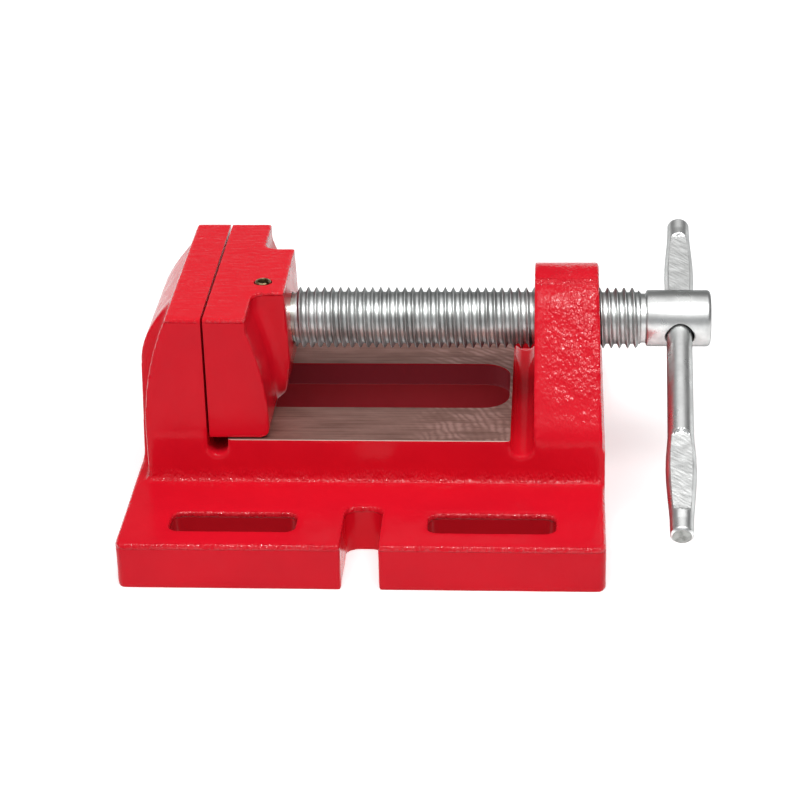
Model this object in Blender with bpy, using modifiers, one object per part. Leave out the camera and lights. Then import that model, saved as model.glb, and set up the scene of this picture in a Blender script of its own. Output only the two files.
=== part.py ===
"""Drill press vise with a sliding jaw, a lead screw and a tommy bar.

Metres, +Z up.  X runs along the screw, from the fixed jaw to the handle, and -Y is the front.
The origin is on the underside of the base, on the middle plane, below the fixed jaw's gripping face.
"""

import math

import bmesh
import bpy
from mathutils import Matrix, Vector

# Gaps between pieces
SEAT_GAP = 0.0003            # between two faces that rest on each other
THREAD_GAP = 0.00045         # radial room between the screw and the thread in the lug
CUT_OVERRUN = 0.002          # how far a cutter runs past the face it opens
WELD_DISTANCE = 0.000003     # points closer than this are one point

# Base casting
BASE_LENGTH = 0.145
BASE_WIDTH = 0.158
FLANGE_HEIGHT = 0.015
FLANGE_CORNER_RADIUS = 0.003
FLANGE_EDGE_ROUND = 0.0012
GRIP_FACE_INSET = 0.0233     # from the end of the base to the fixed jaw's gripping face
BODY_WIDTH = 0.078           # across the side walls, above the flange
BODY_END_INSET = 0.0045      # step from the end of the base to the end of the body
FOOT_FILLET = 0.003
WAY_HEIGHT = 0.029
WAY_THICKNESS = 0.008

# Fixed jaw and the rib behind it
JAW_WIDTH = 0.076
JAW_TOP_HEIGHT = 0.069
FIXED_JAW_TOP_THICKNESS = 0.0105
JAW_KNEE_HEIGHT = 0.031      # below it the backs of both jaws are upright
JAW_EDGE_ROUND = 0.0009
RIB_WIDTH = 0.046
RIB_END_INSET = 0.0008
RIB_SHOULDER_HEIGHT = 0.049
RIB_SHOULDER_INSET = 0.0018
RIB_EDGE_ROUND = 0.0018

# Ways: the slot between them and the relief grooves across them
GROOVE_WIDTH = 0.0071
GROOVE_DEPTH = 0.0067
GUIDE_SLOT_WIDTH = 0.032
GUIDE_SLOT_START = 0.0006
GUIDE_SLOT_START_RADIUS = 0.003
GUIDE_SLOT_END_MARGIN = 0.0008
GUIDE_SLOT_END_RADIUS = 0.0085
CAVITY_START = 0.0015
CAVITY_WIDTH = 0.058
CAVITY_END_REACH = 0.003     # how far the hollow runs past the slot
CAVITY_CORNER_RADIUS = 0.004

# Holding-down slots and notches in the flange
BOLT_SLOT_LENGTH = 0.038
BOLT_SLOT_WIDTH = 0.0114
BOLT_SLOT_CORNER_RADIUS = 0.003
BOLT_SLOT_EDGE_DISTANCE = 0.0145   # from the flange's edge to the slot's middle line
BOLT_SLOT_SPACING = 0.0772         # between the middles of the two slots on one side
BOLT_SLOT_DRAFT = 0.0008
NOTCH_WIDTH = 0.0112
NOTCH_DEPTH = 0.024
NOTCH_CORNER_RADIUS = 0.0035

# Lug that carries the screw
LUG_THICKNESS = 0.0218
LUG_DRAFT = 0.002
LUG_TOP_RADIUS = 0.0174
LUG_BEND_RADIUS = 0.012      # where the spreading flanks turn upright
LUG_BEND_HEIGHT = 0.026
LUG_EDGE_ROUND = 0.0016
SCREW_DEPTH = 0.0163         # from the jaws' tops down to the screw's axis

# Lead screw, 3/4 inch with ten threads to the inch
THREAD_PITCH = 0.00254
THREAD_RADIUS = 0.009525
THREAD_DEPTH = 0.0015
THREAD_ROOT_WIDTH = 0.0008
THREAD_SHOW_LENGTH = 0.0112  # thread left outside the lug with the jaws shut, to the nearest turn
SCREW_NECK_LENGTH = 0.0016
SCREW_HEAD_LENGTH = 0.02
SCREW_HEAD_RADIUS = 0.0088
SCREW_HEAD_EDGE = 0.0012
NOSE_RADIUS = 0.0077
NOSE_END_CHAMFER = 0.0012
NOSE_LENGTH_IN_JAW = 0.0178
NOSE_SHOW_LENGTH = 0.0012    # bare stretch of the nose between the jaw and the thread
HANDLE_HOLE_RADIUS = 0.0045
HANDLE_HOLE_END_DISTANCE = 0.0096

# Movable jaw
REST_OPENING = 0.001         # gap between the gripping faces as the vise is shown
MOVABLE_JAW_TOP_THICKNESS = 0.0127
MOVABLE_JAW_FOOT_THICKNESS = 0.0183
MOVABLE_JAW_STEP_HEIGHT = 0.064      # above it the back is upright again
MOVABLE_JAW_FOOT_ROUND = 0.0025
BOSS_WIDTH = 0.035
BOSS_TOP_REACH = 0.0211      # from the gripping face to the end of the boss, at the top
BOSS_REACH = 0.024           # the same, where the boss is longest
BOSS_BELLY_HEIGHT = 0.0425
BOSS_FOOT_HEIGHT = 0.0298
BOSS_CORNER_RADIUS = 0.009   # of the two lower corners, seen from the end
BOSS_EDGE_ROUND = 0.0018
TONGUE_START = 0.001         # from the gripping face to the guide tongue
TONGUE_LENGTH = 0.0135
TONGUE_CLEARANCE = 0.0003
TONGUE_START_CHAMFER = 0.002
TONGUE_END_CHAMFER = 0.006

# Spring pin that holds the screw's nose in the jaw
PIN_RADIUS = 0.0025
PIN_WALL = 0.0008
PIN_SLIT_WIDTH = 0.0009
PIN_LENGTH = 0.03
PIN_TOP_DEPTH = 0.0004
PIN_GROOVE_DEPTH = 0.0011
PIN_DISTANCE = 0.015         # from the movable jaw's gripping face to the pin

# Keeper plate under the ways, with its bolts and spring washers
KEEPER_LENGTH = 0.0125
KEEPER_WIDTH = 0.044
KEEPER_THICKNESS = 0.004
KEEPER_CORNER_RADIUS = 0.002
BOLT_RADIUS = 0.003
BOLT_SPACING = 0.017
BOLT_HEAD_FLATS = 0.010
BOLT_HEAD_HEIGHT = 0.004
BOLT_HEAD_CHAMFER = 0.0005
BOLT_GRIP = 0.011            # length of bolt inside the jaw
BOLT_HOLE_SPARE = 0.002
WASHER_RADIUS = 0.0053
WASHER_THICKNESS = 0.0016
WASHER_SPLIT_WIDTH = 0.0009

# Tommy bar
HANDLE_LENGTH = 0.137
HANDLE_RADIUS = 0.00395
HANDLE_UPPER_REACH = 0.0446  # from the screw's axis to the bar's upper end
HANDLE_TILT = math.radians(18.0)
HANDLE_SKEW = math.radians(1.3)      # how far the loose bar leans along the screw in its hole
PADDLE_LENGTH = 0.04
PADDLE_HALF_WIDTH = 0.0046
PADDLE_HALF_THICKNESS = 0.0028
HANDLE_TIP_RADIUS = 0.0034
HANDLE_TIP_CHAMFER = 0.0006

# How finely round things are drawn
THREAD_SEGMENTS = 24
ROUND_SEGMENTS = 32
ARC_STEPS = 4

# Sizes that follow from the ones above
BASE_START = -GRIP_FACE_INSET
BASE_END = BASE_START + BASE_LENGTH
BASE_MIDDLE = (BASE_START + BASE_END) / 2
BODY_START = BASE_START + BODY_END_INSET
SCREW_HEIGHT = JAW_TOP_HEIGHT - SCREW_DEPTH
LUG_START = BASE_END - LUG_THICKNESS
END_GROOVE_START = LUG_START - GROOVE_WIDTH
GUIDE_SLOT_END = END_GROOVE_START - GUIDE_SLOT_END_MARGIN
CAVITY_END = GUIDE_SLOT_END + CAVITY_END_REACH
WAY_UNDERSIDE = WAY_HEIGHT - WAY_THICKNESS
JAW_SEAT = WAY_HEIGHT + SEAT_GAP
BOSS_END = REST_OPENING + BOSS_REACH
NOSE_START = BOSS_END - NOSE_LENGTH_IN_JAW
THREAD_START = BOSS_END + NOSE_SHOW_LENGTH
THREAD_TURNS = round((BASE_END + THREAD_SHOW_LENGTH - THREAD_START) / THREAD_PITCH)
THREAD_END = THREAD_START + THREAD_TURNS * THREAD_PITCH
HEAD_START = THREAD_END + SCREW_NECK_LENGTH
HEAD_END = HEAD_START + SCREW_HEAD_LENGTH
ROOT_RADIUS = THREAD_RADIUS - THREAD_DEPTH
HANDLE_X = HEAD_END - HANDLE_HOLE_END_DISTANCE
PIN_X = REST_OPENING + PIN_DISTANCE
PIN_GROOVE_RADIUS = NOSE_RADIUS - PIN_GROOVE_DEPTH
PIN_Y = -(PIN_GROOVE_RADIUS + SEAT_GAP + PIN_RADIUS)
PIN_TOP = JAW_TOP_HEIGHT - PIN_TOP_DEPTH
TONGUE_X = REST_OPENING + TONGUE_START
KEEPER_TOP = WAY_UNDERSIDE - SEAT_GAP
KEEPER_X = TONGUE_X + TONGUE_LENGTH - KEEPER_LENGTH / 2
BOLT_X = KEEPER_X
WASHER_TOP = KEEPER_TOP - KEEPER_THICKNESS - SEAT_GAP
BOLT_HEAD_TOP = WASHER_TOP - WASHER_THICKNESS - SEAT_GAP


def srgb(hex_colour):
    """Turn an sRGB hex colour such as 'd8202c' into linear RGBA."""
    channels = [int(hex_colour[i:i + 2], 16) / 255 for i in (0, 2, 4)]
    linear = [c / 12.92 if c <= 0.04045 else ((c + 0.055) / 1.055) ** 2.4 for c in channels]
    return (*linear, 1.0)


def make_material(name, hex_colour, metallic, roughness):
    """Make a plain Principled material."""
    material = bpy.data.materials.new(name)
    material.use_nodes = True
    shader = material.node_tree.nodes["Principled BSDF"]
    shader.inputs["Base Color"].default_value = srgb(hex_colour)
    shader.inputs["Metallic"].default_value = metallic
    shader.inputs["Roughness"].default_value = roughness
    material.diffuse_color = srgb(hex_colour)
    return material


def link(mesh, name):
    """Put a mesh into the scene as an object of the part's collection."""
    piece = bpy.data.objects.new(name, mesh)
    bpy.data.collections["drill_press_vise"].objects.link(piece)
    return piece


def bake(piece):
    """Replace a piece's mesh by what its modifiers, and its own place, make of it."""
    graph = bpy.context.evaluated_depsgraph_get()
    mesh = bpy.data.meshes.new_from_object(piece.evaluated_get(graph))
    mesh.transform(piece.matrix_world)
    name = piece.name
    bpy.data.objects.remove(piece)
    return link(mesh, name)


def weld(mesh):
    """Join points that lie on each other, and drop the faces that this leaves without area."""
    work = bmesh.new()
    work.from_mesh(mesh)
    bmesh.ops.remove_doubles(work, verts=work.verts, dist=WELD_DISTANCE)
    bmesh.ops.dissolve_degenerate(work, edges=work.edges, dist=WELD_DISTANCE)
    work.to_mesh(mesh)
    work.free()


def combine(piece, tool, operation):
    """Join a tool to a piece, cut it out of it, or keep what both share, and remove the tool."""
    modifier = piece.modifiers.new(operation.lower(), "BOOLEAN")
    modifier.operation = operation
    modifier.solver = "EXACT"
    modifier.object = tool
    bpy.context.view_layer.update()
    result = bake(piece)
    bpy.data.objects.remove(tool)
    weld(result.data)
    return result


def round_edges(piece, width, segments=2, angle=50.0):
    """Round every edge sharper than an angle."""
    bevel = piece.modifiers.new("round", "BEVEL")
    bevel.width = width
    bevel.segments = segments
    bevel.limit_method = "ANGLE"
    bevel.angle_limit = math.radians(angle)
    bpy.context.view_layer.update()
    return bake(piece)


# Which way an outline's two axes and its thickness point, for each plane it is drawn in
PLANES = {
    "XY": Matrix(((1, 0, 0), (0, 1, 0), (0, 0, 1))).to_4x4(),
    "XZ": Matrix(((1, 0, 0), (0, 0, -1), (0, 1, 0))).to_4x4(),
    "YZ": Matrix(((0, 0, 1), (1, 0, 0), (0, 1, 0))).to_4x4(),
}
THICKNESS_AXIS = {"XY": Vector((0, 0, 1)), "XZ": Vector((0, 1, 0)), "YZ": Vector((1, 0, 0))}


def extruded(name, plane, outline, low, high):
    """Extrude a closed outline, drawn in a plane, from one level to another across it."""
    curve = bpy.data.curves.new(name, "CURVE")
    curve.dimensions = "2D"
    curve.fill_mode = "BOTH"
    curve.extrude = (high - low) / 2
    spline = curve.splines.new("POLY")
    spline.points.add(len(outline) - 1)
    for point, (across, up) in zip(spline.points, outline):
        point.co = (across, up, 0, 1)
    spline.use_cyclic_u = True
    drawn = bpy.data.objects.new(name, curve)
    bpy.data.collections["drill_press_vise"].objects.link(drawn)
    bpy.context.view_layer.update()
    graph = bpy.context.evaluated_depsgraph_get()
    mesh = bpy.data.meshes.new_from_object(drawn.evaluated_get(graph))
    bpy.data.objects.remove(drawn)
    work = bmesh.new()
    work.from_mesh(mesh)
    bmesh.ops.remove_doubles(work, verts=work.verts, dist=WELD_DISTANCE)
    bmesh.ops.recalc_face_normals(work, faces=work.faces)
    work.to_mesh(mesh)
    work.free()
    mesh.transform(Matrix.Translation(THICKNESS_AXIS[plane] * (high + low) / 2) @ PLANES[plane])
    return link(mesh, name)


def arc(centre, radius, start, end, steps=ARC_STEPS):
    """Points of an arc, with angles in degrees."""
    angles = [math.radians(start + (end - start) * i / steps) for i in range(steps + 1)]
    return [(centre[0] + radius * math.cos(a), centre[1] + radius * math.sin(a)) for a in angles]


def back_curve(foot, top, steps=2 * ARC_STEPS):
    """Points of the round back of a jaw: an arc that starts upright at its foot and ends at its top."""
    run, rise = top[0] - foot[0], top[1] - foot[1]
    radius = (run * run + rise * rise) / (2 * abs(run))
    side = math.copysign(1.0, run)
    sweep = math.asin(rise / radius)
    angles = [sweep * i / steps for i in range(steps + 1)]
    return [(foot[0] + side * radius * (1 - math.cos(a)), foot[1] + radius * math.sin(a)) for a in angles]


def rounded_box_outline(x_low, x_high, y_low, y_high, low_radius, high_radius):
    """Outline of a rectangle, with one corner radius at its low end and one at its high end."""
    return (
        arc((x_high - high_radius, y_low + high_radius), high_radius, -90, 0)
        + arc((x_high - high_radius, y_high - high_radius), high_radius, 0, 90)
        + arc((x_low + low_radius, y_high - low_radius), low_radius, 90, 180)
        + arc((x_low + low_radius, y_low + low_radius), low_radius, 180, 270)
    )


def cylinder(name, radius, start, direction, length, segments=ROUND_SEGMENTS):
    """A cylinder from a start point along a direction."""
    mesh = bpy.data.meshes.new(name)
    work = bmesh.new()
    bmesh.ops.create_cone(work, cap_ends=True, segments=segments, radius1=radius, radius2=radius, depth=length)
    work.to_mesh(mesh)
    work.free()
    turn = Vector((0, 0, 1)).rotation_difference(Vector(direction)).to_matrix().to_4x4()
    middle = Vector(start) + Vector(direction).normalized() * length / 2
    mesh.transform(Matrix.Translation(middle) @ turn)
    return link(mesh, name)


def turned(name, profile, segments=ROUND_SEGMENTS):
    """Turn a profile of (X, radius) points, from the screw's nose to its head, about the screw's axis."""
    mesh = bpy.data.meshes.new(name)
    points = [(profile[0][0], 0.0)] + list(profile) + [(profile[-1][0], 0.0)]
    # The Screw modifier turns about Z, so X is laid along -Z and the list runs from top to bottom.
    mesh.from_pydata([(radius, 0, -x) for x, radius in points], [(i, i + 1) for i in range(len(points) - 1)], [])
    piece = link(mesh, name)
    screw = piece.modifiers.new("turn", "SCREW")
    screw.steps = segments
    screw.render_steps = segments
    screw.use_merge_vertices = True
    screw.merge_threshold = WELD_DISTANCE
    lay_down = Matrix(((0, 0, -1), (0, 1, 0), (1, 0, 0))).to_4x4()
    piece.matrix_world = Matrix.Translation((0, 0, SCREW_HEIGHT)) @ lay_down
    bpy.context.view_layer.update()
    return bake(piece)


def threaded_rod(name, first_turn, last_turn, growth):
    """A right-hand threaded rod on the screw's axis, with its thread grown outwards by a clearance.

    Turns are counted from the start of the screw's thread, so rods of any length are in mesh.
    """
    crest = THREAD_RADIUS + growth
    root = ROOT_RADIUS + growth
    flank = (THREAD_PITCH - THREAD_ROOT_WIDTH) / 2
    profile = [(0.0, crest), (flank, root), (flank + THREAD_ROOT_WIDTH, root)]
    mesh = bpy.data.meshes.new(name)
    work = bmesh.new()
    rows = []
    for step in range(first_turn * THREAD_SEGMENTS, last_turn * THREAD_SEGMENTS + 1):
        angle = 2 * math.pi * step / THREAD_SEGMENTS
        along = THREAD_START + THREAD_PITCH * step / THREAD_SEGMENTS
        rows.append([
            work.verts.new((along + shift, -radius * math.sin(angle), SCREW_HEIGHT + radius * math.cos(angle)))
            for shift, radius in profile
        ])
    for row, after in zip(rows, rows[1:]):
        for i in range(len(profile) - 1):
            work.faces.new((row[i], after[i], after[i + 1], row[i + 1]))
    for i in range(len(rows) - 1 - THREAD_SEGMENTS):
        near, far = rows[i], rows[i + 1]
        work.faces.new((near[-1], far[-1], rows[i + 1 + THREAD_SEGMENTS][0], rows[i + THREAD_SEGMENTS][0]))
    # The two ends are closed by fans from a point on the axis.
    start_loop = [row[0] for row in rows[:THREAD_SEGMENTS + 1]] + rows[0][:0:-1]
    end_loop = [row[-1] for row in rows[-THREAD_SEGMENTS - 1:]] + rows[-1][-2::-1]
    for loop in (start_loop, end_loop):
        middle = sum((v.co.x for v in loop)) / len(loop)
        hub = work.verts.new((middle, 0, SCREW_HEIGHT))
        for i, vert in enumerate(loop):
            work.faces.new((hub, vert, loop[(i + 1) % len(loop)]))
    bmesh.ops.recalc_face_normals(work, faces=work.faces)
    work.to_mesh(mesh)
    work.free()
    return link(mesh, name)


def dressed(piece, material):
    """Give a finished piece its material and smooth shading on its round faces."""
    piece.data.materials.clear()
    piece.data.materials.append(material)
    piece.data.shade_smooth()
    piece.data.set_sharp_from_angle(angle=math.radians(35))
    return piece


def jaw_end_outline(top_half_width, foot_half_width, foot, top):
    """The jaws seen from the end: slightly narrower at the top, as the mould leaves them."""
    return [(-foot_half_width, foot), (foot_half_width, foot), (top_half_width, top), (-top_half_width, top)]


def make_fixed_jaw():
    """The upright block behind the gripping face, with its back sloping out to the foot."""
    foot_back = BODY_START
    back = back_curve((foot_back, JAW_KNEE_HEIGHT), (-FIXED_JAW_TOP_THICKNESS, JAW_TOP_HEIGHT))
    side = [(0.0, WAY_UNDERSIDE), (0.0, JAW_TOP_HEIGHT)] + back[::-1] + [(foot_back, WAY_UNDERSIDE)]
    jaw = extruded("fixed_jaw", "XZ", side, -BODY_WIDTH / 2, BODY_WIDTH / 2)
    end = jaw_end_outline(JAW_WIDTH / 2, BODY_WIDTH / 2, WAY_UNDERSIDE, JAW_TOP_HEIGHT)
    jaw = combine(jaw, extruded("jaw_end", "YZ", end, foot_back - CUT_OVERRUN, CUT_OVERRUN), "INTERSECT")
    return round_edges(jaw, JAW_EDGE_ROUND)


def make_rib():
    """The broad rib that backs the fixed jaw, from its top edge down to the flange."""
    foot_back = BASE_START + RIB_END_INSET
    shoulder = (BASE_START + RIB_SHOULDER_INSET, RIB_SHOULDER_HEIGHT)
    top = (-FIXED_JAW_TOP_THICKNESS, JAW_TOP_HEIGHT - JAW_EDGE_ROUND / 2)
    crown = back_curve(shoulder, top)
    inner = -FIXED_JAW_TOP_THICKNESS / 2
    side = [(inner, FLANGE_HEIGHT / 2), (inner, top[1])] + crown[::-1] + [(foot_back, FLANGE_HEIGHT / 2)]
    rib = extruded("rib", "XZ", side, -RIB_WIDTH / 2, RIB_WIDTH / 2)
    return round_edges(rib, RIB_EDGE_ROUND, angle=60.0)


def make_lug():
    """The upright that the screw passes through: an arch on flanks that spread to the body's width."""
    half = BODY_WIDTH / 2
    bend = (half - LUG_BEND_RADIUS, LUG_BEND_HEIGHT)
    # Each flank is the outer tangent of the arch and the bend; lean is the angle of its normal.
    down = (bend[0], bend[1] - SCREW_HEIGHT)
    lean = math.atan2(down[1], down[0]) + math.acos((LUG_TOP_RADIUS - LUG_BEND_RADIUS) / math.hypot(*down))
    lean = math.degrees(lean)
    arch = arc((0.0, SCREW_HEIGHT), LUG_TOP_RADIUS, lean, 180 - lean, 3 * ARC_STEPS)
    right_bend = arc(bend, LUG_BEND_RADIUS, 0, lean)
    left_bend = [(-y, z) for y, z in reversed(right_bend)]
    foot = FLANGE_HEIGHT / 2
    face = [(-half, foot), (half, foot)] + right_bend + arch + left_bend
    lug = extruded("lug", "YZ", face, LUG_START, BASE_END)
    top = SCREW_HEIGHT + LUG_TOP_RADIUS + CUT_OVERRUN
    side = [(LUG_START, 0.0), (BASE_END, 0.0), (BASE_END - LUG_DRAFT, top), (LUG_START, top)]
    lug = combine(lug, extruded("lug_side", "XZ", side, -BASE_WIDTH / 2, BASE_WIDTH / 2), "INTERSECT")
    return round_edges(lug, LUG_EDGE_ROUND)


def make_body_block():
    """The low block between the jaw and the lug, whose top is the ways, with filleted feet."""
    half = BODY_WIDTH / 2
    fillet = arc((half + FOOT_FILLET, FLANGE_HEIGHT + FOOT_FILLET), FOOT_FILLET, 270, 180)
    right = [(half + FOOT_FILLET, FLANGE_HEIGHT / 2)] + fillet + [(half, WAY_HEIGHT)]
    left = [(-y, z) for y, z in reversed(right)]
    return extruded("body_block", "YZ", right + left, BODY_START, BASE_END)


def cut_ways(body):
    """Cut the guide slot, the hollow under the ways and the two relief grooves."""
    half_slot = GUIDE_SLOT_WIDTH / 2
    outline = rounded_box_outline(
        GUIDE_SLOT_START, GUIDE_SLOT_END, -half_slot, half_slot, GUIDE_SLOT_START_RADIUS, GUIDE_SLOT_END_RADIUS)
    slot = extruded("guide_slot", "XY", outline, WAY_UNDERSIDE - CUT_OVERRUN, WAY_HEIGHT + CUT_OVERRUN)
    body = combine(body, slot, "DIFFERENCE")
    half_cavity = CAVITY_WIDTH / 2
    outline = rounded_box_outline(
        CAVITY_START, CAVITY_END, -half_cavity, half_cavity, CAVITY_CORNER_RADIUS, CAVITY_CORNER_RADIUS)
    body = combine(body, extruded("cavity", "XY", outline, -CUT_OVERRUN, WAY_UNDERSIDE), "DIFFERENCE")
    for groove_start in (0.0, END_GROOVE_START):
        radius = GROOVE_WIDTH / 2
        middle = (groove_start + radius, WAY_HEIGHT - GROOVE_DEPTH + radius)
        outline = arc(middle, radius, 180, 360, 2 * ARC_STEPS)
        outline += [(groove_start + GROOVE_WIDTH, WAY_HEIGHT + CUT_OVERRUN), (groove_start, WAY_HEIGHT + CUT_OVERRUN)]
        groove = extruded("groove", "XZ", outline, -BODY_WIDTH / 2 - CUT_OVERRUN, BODY_WIDTH / 2 + CUT_OVERRUN)
        body = combine(body, groove, "DIFFERENCE")
    return body


def cut_flange(body):
    """Cut the four holding-down slots, which narrow downwards, and the notch in each long edge."""
    for side in (-1, 1):
        for end in (-1, 1):
            middle_x = BASE_MIDDLE + end * BOLT_SLOT_SPACING / 2
            middle_y = side * (BASE_WIDTH / 2 - BOLT_SLOT_EDGE_DISTANCE)
            outline = rounded_box_outline(
                -BOLT_SLOT_LENGTH / 2, BOLT_SLOT_LENGTH / 2, -BOLT_SLOT_WIDTH / 2, BOLT_SLOT_WIDTH / 2,
                BOLT_SLOT_CORNER_RADIUS, BOLT_SLOT_CORNER_RADIUS)
            slot = extruded("bolt_slot", "XY", outline, -CUT_OVERRUN, FLANGE_HEIGHT + CUT_OVERRUN)
            for vert in slot.data.vertices:
                if vert.co.z < FLANGE_HEIGHT / 2:
                    vert.co.x *= 1 - 2 * BOLT_SLOT_DRAFT / BOLT_SLOT_LENGTH
                    vert.co.y *= 1 - 2 * BOLT_SLOT_DRAFT / BOLT_SLOT_WIDTH
            slot.data.transform(Matrix.Translation((middle_x, middle_y, 0)))
            body = combine(body, slot, "DIFFERENCE")
        edge = BASE_WIDTH / 2
        outline = rounded_box_outline(
            edge - NOTCH_DEPTH, edge + 2 * NOTCH_CORNER_RADIUS, -NOTCH_WIDTH / 2, NOTCH_WIDTH / 2,
            NOTCH_CORNER_RADIUS, NOTCH_CORNER_RADIUS)
        outline = [(BASE_MIDDLE + across, side * along) for along, across in outline]
        notch = extruded("notch", "XY", outline, -CUT_OVERRUN, FLANGE_HEIGHT + CUT_OVERRUN)
        body = combine(body, notch, "DIFFERENCE")
    return body


def cut_lug_thread(body):
    """Cut the lug's thread, in mesh with the screw's."""
    first_turn = math.floor((LUG_START - THREAD_START) / THREAD_PITCH) - 2
    last_turn = math.ceil((BASE_END - THREAD_START) / THREAD_PITCH) + 2
    return combine(body, threaded_rod("tap", first_turn, last_turn, THREAD_GAP), "DIFFERENCE")


def make_vise_body(material):
    """The base casting: flange, ways, fixed jaw with its rib, and lug, all in one piece."""
    half_base = BASE_WIDTH / 2
    outline = rounded_box_outline(
        BASE_START, BASE_END, -half_base, half_base, FLANGE_CORNER_RADIUS, FLANGE_CORNER_RADIUS)
    body = extruded("vise_body", "XY", outline, 0.0, FLANGE_HEIGHT)
    body = round_edges(body, FLANGE_EDGE_ROUND)
    for solid in (make_body_block(), make_rib(), make_fixed_jaw(), make_lug()):
        body = combine(body, solid, "UNION")
    body = cut_ways(body)
    body = cut_flange(body)
    body = cut_lug_thread(body)
    return dressed(body, material)


def make_movable_jaw(material):
    """The sliding jaw: a plate, the boss that holds the screw's nose, and the guide tongue below."""
    face = REST_OPENING
    foot_back = face + MOVABLE_JAW_FOOT_THICKNESS
    top_back = face + MOVABLE_JAW_TOP_THICKNESS
    foot_corner = arc(
        (foot_back - MOVABLE_JAW_FOOT_ROUND, JAW_SEAT + MOVABLE_JAW_FOOT_ROUND), MOVABLE_JAW_FOOT_ROUND, -90, 0)
    back = back_curve((foot_back, JAW_KNEE_HEIGHT + MOVABLE_JAW_FOOT_ROUND), (top_back, MOVABLE_JAW_STEP_HEIGHT))
    side = [(face, JAW_SEAT)] + foot_corner + back + [(top_back, JAW_TOP_HEIGHT), (face, JAW_TOP_HEIGHT)]
    jaw = extruded("movable_jaw", "XZ", side, -JAW_WIDTH / 2, JAW_WIDTH / 2)
    jaw = round_edges(jaw, JAW_EDGE_ROUND)

    belly = (face + BOSS_REACH, BOSS_BELLY_HEIGHT)
    boss_side = [
        (face + MOVABLE_JAW_TOP_THICKNESS / 2, BOSS_FOOT_HEIGHT),
        (foot_back, BOSS_FOOT_HEIGHT),
        ((foot_back + 2 * belly[0]) / 3, (2 * BOSS_FOOT_HEIGHT + belly[1]) / 3),
        belly,
        (face + BOSS_TOP_REACH, JAW_TOP_HEIGHT),
        (face + MOVABLE_JAW_TOP_THICKNESS / 2, JAW_TOP_HEIGHT),
    ]
    half_boss = BOSS_WIDTH / 2
    boss = extruded("boss", "XZ", boss_side, -half_boss, half_boss)
    corner = (half_boss - BOSS_CORNER_RADIUS, BOSS_FOOT_HEIGHT + BOSS_CORNER_RADIUS)
    lower_right = arc(corner, BOSS_CORNER_RADIUS, -90, 0, 2 * ARC_STEPS)
    boss_end = [(-y, z) for y, z in reversed(lower_right)] + lower_right
    boss_end += [(half_boss, JAW_TOP_HEIGHT), (-half_boss, JAW_TOP_HEIGHT)]
    boss = combine(boss, extruded("boss_end", "YZ", boss_end, face, belly[0] + CUT_OVERRUN), "INTERSECT")
    boss = round_edges(boss, BOSS_EDGE_ROUND)
    jaw = combine(jaw, boss, "UNION")

    half_tongue = GUIDE_SLOT_WIDTH / 2 - TONGUE_CLEARANCE
    tongue_end = TONGUE_X + TONGUE_LENGTH
    tongue_outline = [
        (TONGUE_X + TONGUE_START_CHAMFER, -half_tongue), (tongue_end - TONGUE_END_CHAMFER, -half_tongue),
        (tongue_end, -half_tongue + TONGUE_END_CHAMFER), (tongue_end, half_tongue - TONGUE_END_CHAMFER),
        (tongue_end - TONGUE_END_CHAMFER, half_tongue), (TONGUE_X + TONGUE_START_CHAMFER, half_tongue),
        (TONGUE_X, half_tongue - TONGUE_START_CHAMFER), (TONGUE_X, -half_tongue + TONGUE_START_CHAMFER),
    ]
    jaw = combine(jaw, extruded("tongue", "XY", tongue_outline, WAY_UNDERSIDE, JAW_SEAT + CUT_OVERRUN), "UNION")

    # The seat of the screw's nose, the hole of the spring pin beside it, and the two tapped holes.
    bore_start = (NOSE_START - SEAT_GAP, 0, SCREW_HEIGHT)
    bore = cylinder("bore", NOSE_RADIUS + SEAT_GAP, bore_start, (1, 0, 0), NOSE_LENGTH_IN_JAW + CUT_OVERRUN)
    jaw = combine(jaw, bore, "DIFFERENCE")
    pin_foot = PIN_TOP - PIN_LENGTH - SEAT_GAP
    pin_hole = cylinder("pin_hole", PIN_RADIUS + SEAT_GAP, (PIN_X, PIN_Y, pin_foot), (0, 0, 1),
                        JAW_TOP_HEIGHT - pin_foot + CUT_OVERRUN, ROUND_SEGMENTS // 2)
    jaw = combine(jaw, pin_hole, "DIFFERENCE")
    for side in (-1, 1):
        foot = (BOLT_X, side * BOLT_SPACING / 2, WAY_UNDERSIDE - CUT_OVERRUN)
        depth = CUT_OVERRUN + BOLT_GRIP + BOLT_HOLE_SPARE
        hole = cylinder("bolt_hole", BOLT_RADIUS + SEAT_GAP, foot, (0, 0, 1), depth, ROUND_SEGMENTS // 2)
        jaw = combine(jaw, hole, "DIFFERENCE")
    return dressed(jaw, material)


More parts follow.
